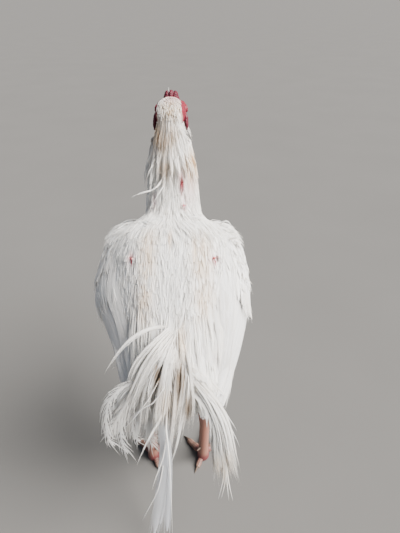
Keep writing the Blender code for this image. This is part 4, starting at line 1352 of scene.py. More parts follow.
def hidden_by_wing(point):
    """True well under a folded wing, where no feather would show."""
    for side in (-1, 1):
        for share in (0.25, 0.40, 0.55):
            x, y, z, height, _ = wing_row(side, share)
            if (point - Vector((side * (x - 0.022), y, z))).length < height * WING_HALF_HEIGHT * 0.62:
                return True
    return False


def beyond_wing(point):
    return abs(point.x) > WING_EDGE_X and point.y < WING_EDGE_Y


DOWN_THE_BODY = (RUMP - SHOULDERS).normalized()
DOWN_THE_NECK = Vector((0, -0.30, -1.0)).normalized()


def body_tracts(white, hackle, trunk):
    """Cape, back, breast and belly."""
    body = torso_form()
    back = Plumage("back_feathers", blanks(4, *SMOOTH) + blanks(3, *LOOSE))
    cape = Plumage("cape_feathers", blanks(6, *HACKLE))
    breast = Plumage("breast_feathers", blanks(6, *LOOSE))
    wisps = Plumage("back_wisps", blanks(4, *WISP))
    for share, turn in rows_on(body, 0.985, 0.03, lambda s: 0.0056):
        place, _ = body.place(share, turn)
        root, outward = rooted(place, trunk)
        reach = ROOT_GAP if math.cos(turn) > -0.05 else 0.020
        if (root - place).length > reach or is_raw(place):
            continue
        bake = bake_spot("torso", share, turn)
        wander = Vector((uniform(-0.09, 0.09), 0, 0))
        if math.cos(turn) < -0.05:
            heading = DOWN_THE_BODY + wander + Vector((0, 0, -0.2))
            size = uniform(0.8, 1.1)
            path, ups = draped(root, outward, heading, 0.030 * size, 5, TRUNK_COAT, [trunk])
            breast.add(path, ups, 0.0078 * size, bake, camber=0.35)
            continue
        if place.y > 0.104 and place.z < 0.512:
            continue
        heading = DOWN_THE_BODY + wander
        ridge = 0.0040 * math.exp(-(((abs(place.x) - 0.036) / 0.016) ** 2)) * clamped((share - 0.30) / 0.15)
        lift = TRUNK_COAT * uniform(0.90, 1.05) + ridge
        sway = uniform(-0.14, 0.14)
        if share > 0.74 and abs(place.x) < 0.045:
            path, ups = draped(
                root, outward, heading, uniform(0.046, 0.068), 5, lift, [trunk], sway=sway, cling=0.8
            )
            cape.add(path, ups, uniform(0.0042, 0.0058), bake)
        else:
            path, ups = draped(
                root, outward, heading, uniform(0.050, 0.072), 5, lift, [trunk], sway=sway, cling=0.8
            )
            if beyond_wing(path[-1]):
                continue
            back.add(path, ups, uniform(0.0056, 0.0078), bake, camber=0.18)
        heading = DOWN_THE_BODY + Vector((uniform(-0.14, 0.14), 0, 0))
        rise = lift + uniform(0.0002, 0.0008)
        path, ups = draped(
            root, outward, heading, uniform(0.052, 0.082), 5, rise, [trunk], sway=sway, cling=0.8
        )
        if not beyond_wing(path[-1]):
            wisps.add(path, ups, uniform(0.0006, 0.0012), bake)
    back.build(white, "feather")
    cape.build(hackle, "feather")
    breast.build(white, "feather")
    wisps.build(white, "feather")


def saddle_tract(hackle, trunk):
    """Long feathers of the rump, which spread over the wing tips and the root of the tail."""
    body = torso_form()
    saddle = Plumage("saddle_feathers", blanks(4, *HACKLE) + blanks(3, *SMOOTH), 6)
    wisps = Plumage("saddle_wisps", blanks(4, *WISP), 6)
    for share, turn in rows_on(body, 0.46, 0.00, lambda s: 0.0043):
        if math.cos(turn) < 0.12:
            continue
        place, _ = body.place(share, turn)
        root, outward = rooted(place, trunk)
        if (root - place).length > ROOT_GAP or abs(place.x) > 0.054:
            continue
        spread = place.x / 0.060
        wide = 0.062 if spread > 0 else 0.048
        target = Vector((wide * spread, -0.148 + 0.026 * abs(spread), 0.286 + 0.020 * abs(spread)))
        target += Vector((uniform(-0.006, 0.006), uniform(-0.005, 0.004), uniform(-0.014, 0.014)))
        if target.x < -0.01:
            target.z += 0.014
        away = target - root
        length = min(away.length, uniform(0.062, 0.105))
        target = root + away.normalized() * length
        bulge = Vector((uniform(-0.0015, 0.0015), -0.004, 0.005)) * (length / 0.09)
        lift = TRUNK_COAT * uniform(0.90, 1.10)
        path, ups = strung(root, outward, target, bulge, 6, lift, [trunk])
        half = uniform(0.0054, 0.0080)
        saddle.add(path, ups, half, bake_spot("torso", share, turn), uniform(0.0, 0.08))
        tip = target + Vector((uniform(-0.010, 0.010), 0, uniform(-0.012, 0.012)))
        path, ups = strung(root, outward, tip, bulge * 1.2, 6, lift + uniform(0.0002, 0.0010), [trunk])
        wisps.add(path, ups, uniform(0.0006, 0.0012), bake_spot("torso", share, turn))
    saddle.build(hackle, "feather")
    wisps.build(hackle, "feather")


def mantle_form():
    """The outside of the hackles that hang from the crown over the nape and the upper neck."""
    shares = [
        (0.080, 0.520, 0.0385, 0.0350, 0.0300),
        (0.081, 0.545, 0.0365, 0.0345, 0.0280),
        (0.081, 0.560, 0.0338, 0.0340, 0.0260),
        (0.080, 0.581, 0.0300, 0.0330, 0.0240),
        (0.078, 0.600, 0.0282, 0.0325, 0.0200),
        (0.076, 0.612, 0.0232, 0.0310, 0.0180),
        (0.075, 0.625, 0.0184, 0.0290, 0.0160),
        (0.074, 0.637, 0.0150, 0.0250, 0.0140),
        (0.073, 0.646, 0.0115, 0.0190, 0.0100),
    ]
    return Oval([(-0.0012, *row) for row in shares], Vector((0, -1, 0)))


def nearer_root(point, first, second):
    """The root on whichever of two skins is nearer."""
    one, other = rooted(point, first), rooted(point, second)
    return one if (one[0] - point).length < (other[0] - point).length else other


def neck_tract(hackle, trunk, head):
    """Hackles in three tiers: two hang down the outside of the mantle, over long white ones under them."""
    throat, mantle = neck_form(), mantle_form()
    heights = [section[0].z for section in mantle.sections]
    places = np.linspace(0, 1, len(heights))
    lower = Plumage("neck_hackles_lower", blanks(7, *HACKLE))
    wisps = Plumage("neck_wisps_lower", blanks(4, *WISP))
    for share, turn in rows_on(throat, 0.66, 0.03, lambda s: 0.0042):
        place, _ = throat.place(share, turn)
        if bare_share(place) > 0.5 or is_raw(place):
            continue
        root, outward = rooted(place, trunk)
        middle, own = lock_of(turn, 30, int(share * 7))
        around = (throat.place(share, turn + 0.05)[0] - place) / 0.05
        heading = DOWN_THE_NECK + Vector(((own - 0.5) * 0.25 + uniform(-0.05, 0.05), 0, 0))
        heading += around * (middle - turn) * 11
        length = uniform(0.042, 0.056) * (0.85 + 0.30 * own)
        lift = NECK_COAT * uniform(0.85, 1.0) * (
            1 - 0.45 * clamped((place.z - 0.500) / 0.025)
        ) + 0.0016 * own
        path, ups = draped(root, outward, heading, length, 5, lift, [trunk], fall=0.25, cling=0.5)
        bake = bake_spot("neck", share, turn)
        lower.add(path, ups, uniform(0.0034, 0.0048), bake, uniform(0.0, 0.05))
        if random.random() < 0.35:
            heading = heading + Vector((uniform(-0.15, 0.15), 0, 0))
            path, ups = draped(root, outward, heading, length * 1.1, 5, lift + 0.0008, [trunk], fall=0.2)
            wisps.add(path, ups, uniform(0.0009, 0.0015), bake)
    lower.build(hackle, "feather")
    wisps.build(hackle, "feather")
    tiers = (
        # name, highest and lowest root, row spacing, gap in a row, length, half width, flare, locks
        ("neck_hackles_upper", 0.6120, 0.5740, 0.0026, 0.0036, 0.044, 0.0028, 0.0080, 24),
        ("nape_feathers", 0.6465, 0.6080, 0.0024, 0.0027, 0.040, 0.0020, 0.0020, 34),
    )
    for name, high, low, rise, gap, reach, half, flare, locks in tiers:
        tract = Plumage(name, blanks(7, *HACKLE))
        wisps = Plumage(name.replace("hackles", "wisps").replace("feathers", "wisps"), blanks(4, *WISP))
        height = high
        while height > low:
            count = int(mantle.girth(float(np.interp(height, heights, places))) / gap)
            for i in range(count):
                turn = 2 * math.pi * (i + random.random()) / count
                top = height + uniform(-0.5, 0.5) * rise
                place, _ = mantle.place(float(np.interp(top, heights, places)), turn)
                beside_ear = place.y > 0.0590 and abs(place.x) > 0.011 and place.z > 0.608
                if beside_ear or bare_share(place) > 0.4 or is_raw(place):
                    continue
                if random.random() > (0.658 - top) / 0.012:
                    continue
                root, outward = nearer_root(place, trunk, head)
                middle, own = lock_of(turn, locks, int(height * 90))
                length = reach * uniform(0.85, 1.06) * (0.66 + 0.56 * own)
                tip = flare * own**1.5 * clamped((0.092 - place.y) / 0.024) + uniform(-0.0016, 0.0004)
                path, ups = [root], [outward]
                for k in range(1, 6):
                    s = k / 5
                    spot = float(np.interp(top - length * s, heights, places))
                    bend = turn + (middle - turn) * 0.90 * s * s + (own - 0.5) * 0.12 * s
                    point, out = mantle.place(spot, bend, -0.0022 * (1 - s) + tip * s * s)
                    if point.z > 0.604 and abs(point.x + 0.0012) < 0.0125:
                        point = pushed_out(point, head, 0.0004 + 0.0018 * s)
                    path.append(point)
                    ups.append(out)
                bake = bake_spot("head", (0.65 - top) * 9, turn)
                tract.add(path, ups, half * uniform(0.8, 1.2), bake, uniform(0.0, 0.06))
                if random.random() < 0.22:
                    path = path[:1] + [
                        point + Vector((uniform(-0.0012, 0.0012), 0, 0)) + out * 0.0006 for point in path[1:]
                    ]
                    wisps.add(path, ups, uniform(0.0007, 0.0012), bake)
            height -= rise
        tract.build(hackle, "feather")
        wisps.build(hackle, "feather")


def head_tract(white, head):
    """Short close feathers of the crown."""
    skull = head_form()
    crown = Plumage("crown_feathers", blanks(3, *FINE), 4)
    for share, turn in rows_on(skull, 0.70, 0.03, lambda s: 0.0015):
        place, _ = skull.place(share, turn)
        if bare_share(place) > 0.35:
            continue
        root, outward = rooted(place, head)
        heading = Vector((uniform(-0.10, 0.10), -0.6, -0.8))
        behind = clamped((HEAD_CENTRE.y - 0.004 - place.y) / 0.022)
        if place.y < 0.066 and random.random() > (place.z - 0.632) / 0.014:
            continue
        length = (0.0040 + 0.0085 * behind) * uniform(0.7, 1.25)
        path, ups = draped(root, outward, heading, length, 4, 0.0006 + 0.0016 * behind, [head])
        half = uniform(0.0007, 0.0011) * (1 + 0.4 * behind)
        crown.add(path, ups, half, bake_spot("head", share * 0.4, turn), uniform(0.0, 0.10))
    crown.build(white, "feather")


# A sore's middle over the skin, and its half sizes
SORE_RISE = 0.0090
SORE_SIZE = (0.0021, 0.0019, 0.0062)


def sores():
    """A small raw bump in the middle of each mark between the feathers of the back."""
    bumps = []
    for channel, place, side, _, _, _ in MARKED:
        if channel != 1 or 1 / side.length > 0.0031 or place.z > 0.50:
            continue
        towards = (CAMERA_PLACE - place).normalized()
        centre = place + towards * SORE_RISE
        bumps.append(ball("sore", centre, SORE_SIZE, towards.to_track_quat("Z", "Y"), 14, 10))
    return bumps


def spot_tufts(white, trunk):
    """Short feathers set close on the small marks, so that these show in the coat with clean edges."""
    tufts = Plumage("spot_feathers", blanks(3, *FINE), 4)
    for channel, place, side, over, _, _ in MARKED:
        wide, tall = 1 / side.length, 1 / over.length
        if channel == 0 or wide > 0.0056 or place.y < -0.118 or place.z > 0.61:
            continue
        for _ in range(int(9 + 1300 * tall)):
            turn, far = uniform(0, 2 * math.pi), math.sqrt(random.random())
            spot = place + side * (wide * wide * far * math.cos(turn)) + over * (
                tall * tall * far * math.sin(turn)
            )
            root, outward = rooted(spot, trunk)
            down = DOWN_THE_BODY - outward * DOWN_THE_BODY.dot(outward)
            rise = TRUNK_COAT * uniform(1.15, 1.45) * (1.75 if spot.z < 0.50 else 1.0)
            path = [root, root + outward * rise * 0.7 + down * 0.001]
            path += [
                root + outward * rise + down * 0.003,
                root + outward * rise * 1.02 + down * uniform(0.005, 0.008)
            ]
            tufts.add(path, [outward] * 4, uniform(0.0006, 0.0010), bake_spot("torso", far, turn))
    tufts.build(white, "feather")


def thigh_tracts(white, trunk):
    for side, name in SIDES:
        form = thigh_form(side)
        leg = Plumage("thigh_feathers_" + name, blanks(5, *LOOSE))
        for up_share, turn in rows_on(form, 0.97, 0.02, lambda s: 0.0078 - 0.0034 * s):
            place, _ = form.place(up_share, turn)
            if hidden_by_wing(place):
                continue
            root, outward = rooted(place, trunk)
            if (root - place).length > ROOT_GAP:
                continue
            heading = Vector((uniform(-0.15, 0.15), -0.12, -1.0))
            size = (1.25 - 0.65 * up_share) * uniform(0.85, 1.15)
            size = min(size, max((root.z - 0.150) / 0.025, 0.40))
            lift = THIGH_COAT * (0.35 + 0.65 * clamped((root.z - 0.160) / 0.040))
            path, ups = draped(root, outward, heading, 0.026 * size, 5, lift, [trunk])
            leg.add(path, ups, 0.0072 * size, bake_spot("thigh_" + name, up_share, turn), camber=0.35)
        leg.build(white, "feather")


def wing_tracts(white, flight, trunk):
    tiers = (
        # start, length along the wing, feathers, half width, spread, rise of the tip, kind
        (0.60, 0.44, 9, 0.0062, 0.62, 0.0010, "long"),
        (0.47, 0.40, 17, 0.0082, 0.90, 0.0024, "long"),
        (0.37, 0.205, 17, 0.0074, 0.93, 0.0034, "covert"),
        (0.29, 0.160, 17, 0.0072, 0.94, 0.0036, "covert"),
        (0.23, 0.130, 16, 0.0070, 0.95, 0.0036, "covert"),
        (0.18, 0.115, 15, 0.0068, 0.95, 0.0036, "covert"),
        (0.135, 0.100, 14, 0.0066, 0.95, 0.0036, "covert"),
        (0.09, 0.095, 12, 0.0064, 0.95, 0.0030, "covert"),
        (0.05, 0.090, 10, 0.0060, 0.95, 0.0026, "covert"),
        (0.015, 0.085, 8, 0.0056, 0.92, 0.0022, "covert"),
    )
    for side, name in SIDES:
        coverts = Plumage("wing_coverts_" + name, blanks(7, *SMOOTH))
        loose = Plumage("wing_loose_" + name, blanks(6, *LOOSE))
        remiges = Plumage("wing_flight_" + name, blanks(6, *FLIGHT), 6)
        tousle = 0.60 if side > 0 else 0.45
        for start, reach, count, half, spread, rise, kind in tiers:
            rounds = 1 if kind == "long" else 2
            for i in range(count * rounds):
                across = 2 * i / (count * rounds - 1) - 1
                shift = 0.0 if kind == "long" else uniform(-0.018, 0.018)
                first = across * spread * (0.70 if kind == "long" else 0.92)
                last = across * spread + (0.18 if start == 0.60 else 0.03)
                stray = 0.0
                if kind == "covert":
                    last += uniform(-0.12, 0.12)
                    if random.random() < 0.30:
                        stray = uniform(0.001, 0.006) * tousle
                length = reach * uniform(0.90, 1.12) * (1 - 0.10 * abs(across))
                steps = 6 if kind == "long" else 5
                deep = wing_row(side, start + shift)[3]
                path, ups = [], []
                for k in range(steps):
                    s = k / (steps - 1)
                    offset = first + (last - first) * s**0.8
                    if kind == "covert":
                        offset *= min(
                            1.0, deep * (1 + 0.30 * s) / wing_row(side, start + shift + length * s)[3]
                        )
                    lift = -WING_COAT + 0.0012 + rise * s + stray * s * s
                    point, outward = wing_place(
                        side, start + shift + length * s, min(max(offset, -0.985), 0.985), lift
                    )
                    tilt = Vector((0, -0.6, -0.75)).cross(outward) * (0.085 * side)
                    path.append(point)
                    ups.append((outward + tilt).normalized())
                if kind == "covert" and is_raw(path[0]):
                    continue
                target = remiges if kind == "long" else random.choice((coverts, loose))
                bake = bake_spot("wing_" + name, start, across * 3)
                target.add(path, ups, half * uniform(0.90, 1.08), bake, uniform(0.0, 0.06), 0.12)
        inner_wing(side, name, remiges, loose, trunk)
        coverts.build(white, "feather")
        loose.build(white, "feather")
        remiges.build(flight, "feather")


def inner_wing(side, name, remiges, loose, trunk):
    """Feathers between back and wing: scapulars over the shoulder, and long ones down to beside the tail."""
    body = torso_form()
    for i in range(46):
        share = (i + uniform(-0.3, 0.3)) / 33 - 0.36
        place, _ = wing_place(side, 0.34 + 0.10 * share, -0.93 + 0.25 * (1 - share), 0.0)
        place = place.lerp(Vector((side * 0.034, -0.060, 0.400)), max(0.65 * share, 0.0))
        root, outward = rooted(place, trunk)
        inward = max(share, -0.05)
        reach = 0.068 if side > 0 else 0.050
        target = Vector(
            (side * (reach - (reach - 0.029) * inward), -0.116 - 0.026 * inward, 0.276 + 0.020 * share)
        )
        target += Vector((uniform(-0.006, 0.004), 0, uniform(-0.014, 0.014)))
        bulge = Vector((side * 0.010, -0.004, 0.004)) * min(1 - share, 1.0)
        path, ups = strung(root, outward, target, bulge, 6, 0.0066, [trunk])
        remiges.add(path, ups, uniform(0.0076, 0.0096), bake_spot("wing_" + name, 0.8, i), 0.03, 0.15)
    rise = 0.0022 if side > 0 else 0.0006
    for i in range(64 if side > 0 else 24):
        start = uniform(0.02, 0.66)
        offset = uniform(-1.0, -0.84)
        tract = remiges if start > 0.22 else loose
        path, ups = [], []
        for k in range(tract.steps):
            s = k / (tract.steps - 1)
            point, outward = wing_place(
                side, start + 0.30 * s, max(offset + 0.04 * s, -0.99), 0.0010 + rise * s
            )
            path.append(point)
            ups.append((outward + Vector((0, -0.5, 0.6))).normalized())
        if is_raw(path[0]):
            continue
        tract.add(path, ups, uniform(0.0056, 0.0078), bake_spot("wing_" + name, start, i), 0.03, 0.10)
    for i in range(150):
        share = uniform(0.42, 0.92)
        turn = side * uniform(0.50, 1.25)
        place, _ = body.place(share, turn)
        if is_raw(place):
            continue
        root, outward = rooted(place, trunk)
        heading = DOWN_THE_BODY + Vector((side * uniform(0.0, 0.15), 0, 0))
        lift = uniform(0.0048, 0.0066)
        sway = uniform(-0.2, 0.2)
        path, ups = draped(
            root, outward, heading, uniform(0.046, 0.066), 5, lift, [trunk], sway=sway, cling=0.8
        )
        loose.add(path, ups, uniform(0.0046, 0.0066), bake_spot("torso", share, turn))


# The tail's feathers along their lines in the photograph: kind, half width, then the pixel, row
# and depth of each point
TAIL_LINES = (
    ("streamer", 0.0026, (168, 328, -0.106), (152, 328, -0.124), (135, 336, -0.134), (119, 351, -0.140),
     (106, 371, -0.142)),
    ("strand", 0.0009, (166, 329, -0.106), (150, 330, -0.124), (136, 338, -0.133), (121, 351, -0.139),
     (109, 368, -0.141)),
    ("bunch", 0.0040, (172, 334, -0.110), (155, 345, -0.130), (142, 359, -0.138), (134, 372, -0.142),
     (130, 383, -0.142)),
    ("bunch", 0.0080, (175, 338, -0.112), (160, 351, -0.134), (147, 369, -0.144), (138, 388, -0.148),
     (132, 402, -0.148)),
    ("bunch", 0.0090, (177, 342, -0.113), (165, 358, -0.136), (154, 378, -0.147), (148, 400, -0.150),
     (145, 424, -0.150)),
    ("bunch", 0.0100, (176, 346, -0.114), (170, 362, -0.138), (165, 384, -0.150), (161, 406, -0.154),
     (159, 428, -0.156)),
    ("bunch", 0.0060, (180, 350, -0.116), (176, 368, -0.138), (173, 390, -0.150), (171, 418, -0.154),
     (168, 445, -0.156)),
    ("bunch", 0.0070, (184, 352, -0.116), (185, 370, -0.136), (185, 390, -0.146), (182, 410, -0.150),
     (178, 430, -0.152)),
    ("blade", 0.0085, (176, 342, -0.114), (170, 362, -0.140), (167, 384, -0.152), (165, 402, -0.155),
     (163, 416, -0.156)),
    ("strand", 0.0008, (176, 340, -0.113), (150, 360, -0.142), (138, 386, -0.150), (134, 410, -0.150),
     (137, 432, -0.148)),
    ("strand", 0.0008, (177, 344, -0.113), (156, 366, -0.146), (148, 392, -0.154), (151, 414, -0.154),
     (156, 420, -0.152)),
    ("strand", 0.0009, (178, 348, -0.113), (163, 372, -0.148), (148, 400, -0.156), (129, 424, -0.156),
     (122, 430, -0.152)),
    ("strand", 0.0008, (178, 352, -0.114), (168, 380, -0.150), (152, 404, -0.158), (139, 410, -0.158),
     (134, 418, -0.154)),
    ("open", 0.0100, (165, 360, -0.118), (145, 377, -0.138), (124, 387, -0.144), (110, 400, -0.146),
     (106, 418, -0.146), (108, 438, -0.144), (115, 446, -0.142)),
    ("open", 0.0095, (165, 364, -0.120), (145, 384, -0.140), (128, 401, -0.145), (115, 424, -0.145),
     (108, 436, -0.144)),
    ("open", 0.0100, (166, 370, -0.122), (149, 390, -0.140), (128, 407, -0.144), (121, 424, -0.143),
     (122, 442, -0.140), (128, 454, -0.138)),
    ("open", 0.0095, (167, 374, -0.122), (152, 394, -0.138), (138, 410, -0.140), (132, 424, -0.139),
     (136, 438, -0.136), (141, 441, -0.134)),
    ("open", 0.0090, (168, 378, -0.122), (158, 396, -0.137), (150, 412, -0.138), (147, 425, -0.136),
     (151, 436, -0.132), (157, 438, -0.130)),
    ("open", 0.0090, (169, 380, -0.122), (160, 398, -0.130), (150, 418, -0.132), (148, 434, -0.132),
     (153, 448, -0.130)),
    ("strand", 0.0017, (174, 382, -0.122), (168, 402, -0.150), (158, 422, -0.158), (147, 441, -0.162),
     (137, 465, -0.164)),
    ("streamer", 0.0030, (174, 384, -0.122), (167, 404, -0.150), (157, 424, -0.158), (148, 440, -0.162),
     (141, 456, -0.164)),
    ("strand", 0.0014, (174, 378, -0.122), (174, 400, -0.146), (173, 422, -0.152), (169, 448, -0.155)),
    ("strand", 0.0018, (186, 372, -0.122), (186, 395, -0.146), (181, 424, -0.154), (176, 446, -0.158),
     (171, 465, -0.160)),
    ("streamer", 0.0034, (186, 372, -0.122), (187, 395, -0.146), (182, 420, -0.154), (178, 440, -0.158),
     (174, 456, -0.160)),
    ("vane", 0.0088, (172, 390, -0.126), (164, 420, -0.152), (165, 446, -0.160), (162, 484, -0.165),
     (154, 534, -0.168)),
    ("vane", 0.0060, (172, 396, -0.126), (165, 426, -0.152), (168, 456, -0.161), (168, 492, -0.1655),
     (167, 531, -0.1685)),
    ("vane", 0.0050, (172, 400, -0.126), (165, 430, -0.152), (167, 458, -0.1605), (165, 490, -0.165),
     (160, 524, -0.168)),
    ("bunch", 0.0070, (179, 336, -0.110), (180, 352, -0.124), (180, 374, -0.136), (179, 396, -0.141),
     (178, 412, -0.143)),
    ("bunch", 0.0055, (184, 346, -0.114), (187, 366, -0.134), (189, 386, -0.142), (191, 406, -0.146),
     (190, 420, -0.148)),
    ("strand", 0.0014, (175, 384, -0.124), (166, 410, -0.154), (167, 438, -0.163), (170, 468, -0.168),
     (172.5, 537, -0.172)),
    ("strand", 0.0010, (166, 440, -0.162), (163, 458, -0.166), (156, 477, -0.168), (152, 490, -0.168)),
    ("strand", 0.0008, (163, 466, -0.164), (158, 490, -0.167), (149, 508, -0.168), (142, 521, -0.168)),
    ("blade", 0.0100, (187, 374, -0.120), (198, 394, -0.140), (212, 414, -0.148), (218, 440, -0.150),
     (222, 468, -0.151)),
    ("bunch", 0.0080, (186, 372, -0.120), (197, 391, -0.138), (210, 408, -0.146), (216, 430, -0.149),
     (217, 452, -0.150), (219, 472, -0.150)),
    ("bunch", 0.0075, (188, 374, -0.120), (200, 393, -0.138), (216, 411, -0.146), (225, 432, -0.149),
     (229, 452, -0.150), (234, 471, -0.150)),
    ("bunch", 0.0060, (188, 374, -0.120), (199, 394, -0.140), (213, 412, -0.148), (221, 434, -0.150),
     (224, 452, -0.151), (226, 468, -0.151)),
    ("streamer", 0.0026, (188, 380, -0.122), (202, 400, -0.142), (216, 422, -0.150), (223, 456, -0.152),
     (224, 484, -0.152)),
    ("strand", 0.0010, (218, 440, -0.151), (223, 462, -0.152), (223, 480, -0.152), (218, 500, -0.152)),
    ("strand", 0.0010, (219, 442, -0.151), (224, 464, -0.152), (225, 482, -0.152), (221, 499, -0.152)),
    ("strand", 0.0012, (219, 442, -0.151), (225, 464, -0.152), (227, 484, -0.152), (229, 501, -0.152)),
    ("strand", 0.0010, (220, 442, -0.151), (226, 464, -0.152), (229, 484, -0.152), (233, 501, -0.152)),
    ("strand", 0.0010, (205, 392, -0.124), (220, 406, -0.142), (229, 418, -0.144), (237, 431, -0.144)),
    ("strand", 0.0010, (208, 398, -0.126), (222, 412, -0.144), (232, 430, -0.146), (240, 447, -0.146)),
    ("streamer", 0.0020, (212, 382, -0.122), (220, 390, -0.134), (227, 397, -0.138)),
)

# Stray feathers, drawn the same way, each from the piece of skin nearest to its first point
STRAY_LINES = (
    ("streamer", 0.0009, (162, 174, 0.046), (159, 184, 0.036), (152, 190, 0.030), (143, 193, 0.026),
     (132, 196, 0.022)),
    ("strand", 0.0008, (160, 180, 0.044), (156, 188, 0.036), (148, 191, 0.030), (140, 193, 0.026),
     (131, 198, 0.022)),
    ("streamer", 0.0008, (165, 180, 0.044), (161, 190, 0.034), (155, 200, 0.030), (150, 210, 0.028)),
    ("streamer", 0.0013, (188, 152, 0.062), (192, 164, 0.052), (195, 176, 0.046), (198, 184, 0.044)),
    ("streamer", 0.0013, (186, 150, 0.058), (189, 163, 0.048), (192, 178, 0.042)),
    ("strand", 0.0006, (157, 150, 0.060), (153, 162, 0.050), (149, 176, 0.044)),
    ("streamer", 0.0010, (156, 158, 0.058), (151, 168, 0.048), (147, 178, 0.044)),
    ("strand", 0.0004, (169, 93, 0.090), (168.6, 89.5, 0.090), (168.4, 87, 0.090)),
    ("streamer", 0.0050, (240, 284, -0.030), (245, 296, -0.040), (249, 308, -0.046), (252, 320, -0.050)),
    ("streamer", 0.0042, (239, 286, -0.034), (243, 298, -0.044), (245, 308, -0.050), (247, 317, -0.054)),
    ("streamer", 0.0034, (240, 280, -0.030), (243, 288, -0.034), (246, 294, -0.036)),
    ("streamer", 0.0017, (231, 233, 0.022), (236, 238, 0.014), (240.5, 242, 0.012)),
    ("streamer", 0.0015, (228, 226, 0.040), (234, 232, 0.034), (238, 237, 0.032)),
    ("streamer", 0.0017, (237, 256, -0.002), (243, 264, -0.010), (248, 271, -0.014)),
    ("streamer", 0.0015, (241, 270, -0.008), (247, 279, -0.016), (252, 284, -0.020)),
    ("streamer", 0.0014, (219, 218, 0.056), (226, 221, 0.052), (232, 226, 0.050)),
    ("streamer", 0.0060, (213, 288, -0.050), (215, 306, -0.070), (217, 326, -0.088), (218, 346, -0.100)),
    ("streamer", 0.0056, (216, 296, -0.058), (217, 316, -0.078), (219, 338, -0.095), (219, 360, -0.107)),
    ("streamer", 0.0052, (211, 300, -0.062), (214, 320, -0.082), (216, 342, -0.098), (216, 364, -0.110)),
    ("streamer", 0.0052, (219, 304, -0.062), (220, 324, -0.082), (221, 344, -0.096), (220, 366, -0.106)),
    ("streamer", 0.0040, (175, 322, -0.098), (176, 338, -0.113), (176.5, 354, -0.130), (176, 372, -0.146)),
    ("streamer", 0.0034, (178, 326, -0.100), (178.5, 342, -0.115), (179, 356, -0.130), (181, 370, -0.142)),
)


def bunched(half, spots):
    """A soft feather drawn as its many loose strands, which part towards their tips."""
    for _ in range(int(half * 4200)):
        aside = uniform(-1.0, 1.0)
        deep = uniform(-0.006, 0.008)
        cut = uniform(0.74, 1.06)
        early = uniform(-9.0, 7.0)
        bow = uniform(-1.0, 1.0) * half * 420
        strand = []
        for k, (px, row, y) in enumerate(spots):
            share = k / (len(spots) - 1)
            out = aside * half * 680 * (0.40 + 1.20 * share - 0.55 * share * share)
            before = spots[max(k - 1, 0)]
            down = before[1] + (row - before[1]) * (cut if k else 1) - 0.10 * abs(out)
            strand.append(
                (px + out + bow * share * (1 - share), down + early * (1 - share) ** 3, y + deep * share)
            )
        yield strand


def drawn(lines, tracts, trunk, tile, steps=7):
    """Feathers along lines of the photograph, rooted in the skin where it is near."""
    laid = []
    for kind, half, *spots in lines:
        if kind == "bunch":
            for i, strand in enumerate(bunched(half, spots)):
                if i % 3 == 0:
                    laid.append(("streamer", uniform(0.0012, 0.0024), *strand))
                elif i % 3 == 1:
                    laid.append(("soft", uniform(0.0026, 0.0044), *strand))
                else:
                    laid.append(("strand", uniform(0.0004, 0.0009), *strand))
        else:
            laid.append((kind, half, *spots))
    for kind, half, *spots in laid:
        points = [tuple(on_ray(*spot)) for spot in spots]
        place, outward, _, gap = trunk.find_nearest(Vector(points[0]))
        if gap < 0.020:
            points[0] = tuple(place - outward * 0.0006)
        path = [Vector(point) for point in smooth_rows(points, steps)]
        for k in range(1, steps):
            path[k] = pushed_out(path[k], trunk, 0.004) if (path[k] - path[0]).length < 0.10 else path[k]
            path[k].z = max(path[k].z, 0.010)
        away = Vector((path[-1].x * 3.0, -1.0, 0.35)).normalized()
        ups = [(outward * (1 - k / (steps - 1)) ** 2 + away).normalized() for k in range(steps)]
        tracts[kind].add(path, ups, half, bake_spot(tile, 0.5, half * 900), uniform(0.0, 0.10), 0.12)


def tail_tract(worn, shaded, trunk):
    tracts = {
        "open": Plumage("tail_open_feathers", blanks(6, *OPEN), 7),
        "blade": Plumage("tail_blades", blanks(6, *BLADE), 7),
        "vane": Plumage("tail_vanes", blanks(4, *VANE), 7),
        "streamer": Plumage("tail_streamers", blanks(6, *STREAMER), 7),
        "soft": Plumage("tail_soft_feathers", blanks(5, *SOFT), 7),
        "strand": Strands("tail_strands"),
    }
    drawn(TAIL_LINES, tracts, trunk, "tail")
    drawn(STRAY_LINES, tracts, trunk, "neck")
    plume = Plumage("tail_plumes", blanks(6, *LOOSE), 6)
    wisps = Plumage("tail_wisps", blanks(5, *WISP), 6)
    for i in range(300):
        side = uniform(-1.0, 1.0)
        tier = random.random()
        root, outward = rooted(
            TAIL_ROOT + Vector((side * 0.026, -0.004 + 0.010 * tier, 0.022 - 0.060 * tier)), trunk
        )
        if side < 0:
            target = on_ray(172 + 62 * side + uniform(-6, 6), 418 + uniform(-28, 22), -0.136 + 0.012 * tier)
        else:
            target = on_ray(178 + 30 * side + uniform(-5, 5), 404 + uniform(-22, 14), -0.132 + 0.012 * tier)
        bulge = Vector((side * 0.010, -0.014, 0.012))
        path, ups = strung(root, outward, target, bulge, 6, 0.004, [trunk])
        bake = bake_spot("tail", tier, side)
        if i % 3 == 0:
            plume.add(path, ups, uniform(0.0040, 0.0064), bake, uniform(0.0, 0.08))
        else:
            wisps.add(path, ups, uniform(0.0007, 0.0015), bake)
    for kind, tract in tracts.items():
        # The tail's vanes get the bluish-grey feather of painted shade
        tract.build(shaded if kind == "vane" else worn, "feather")
    plume.build(worn, "feather", "tail")
    wisps.build(worn, "feather")


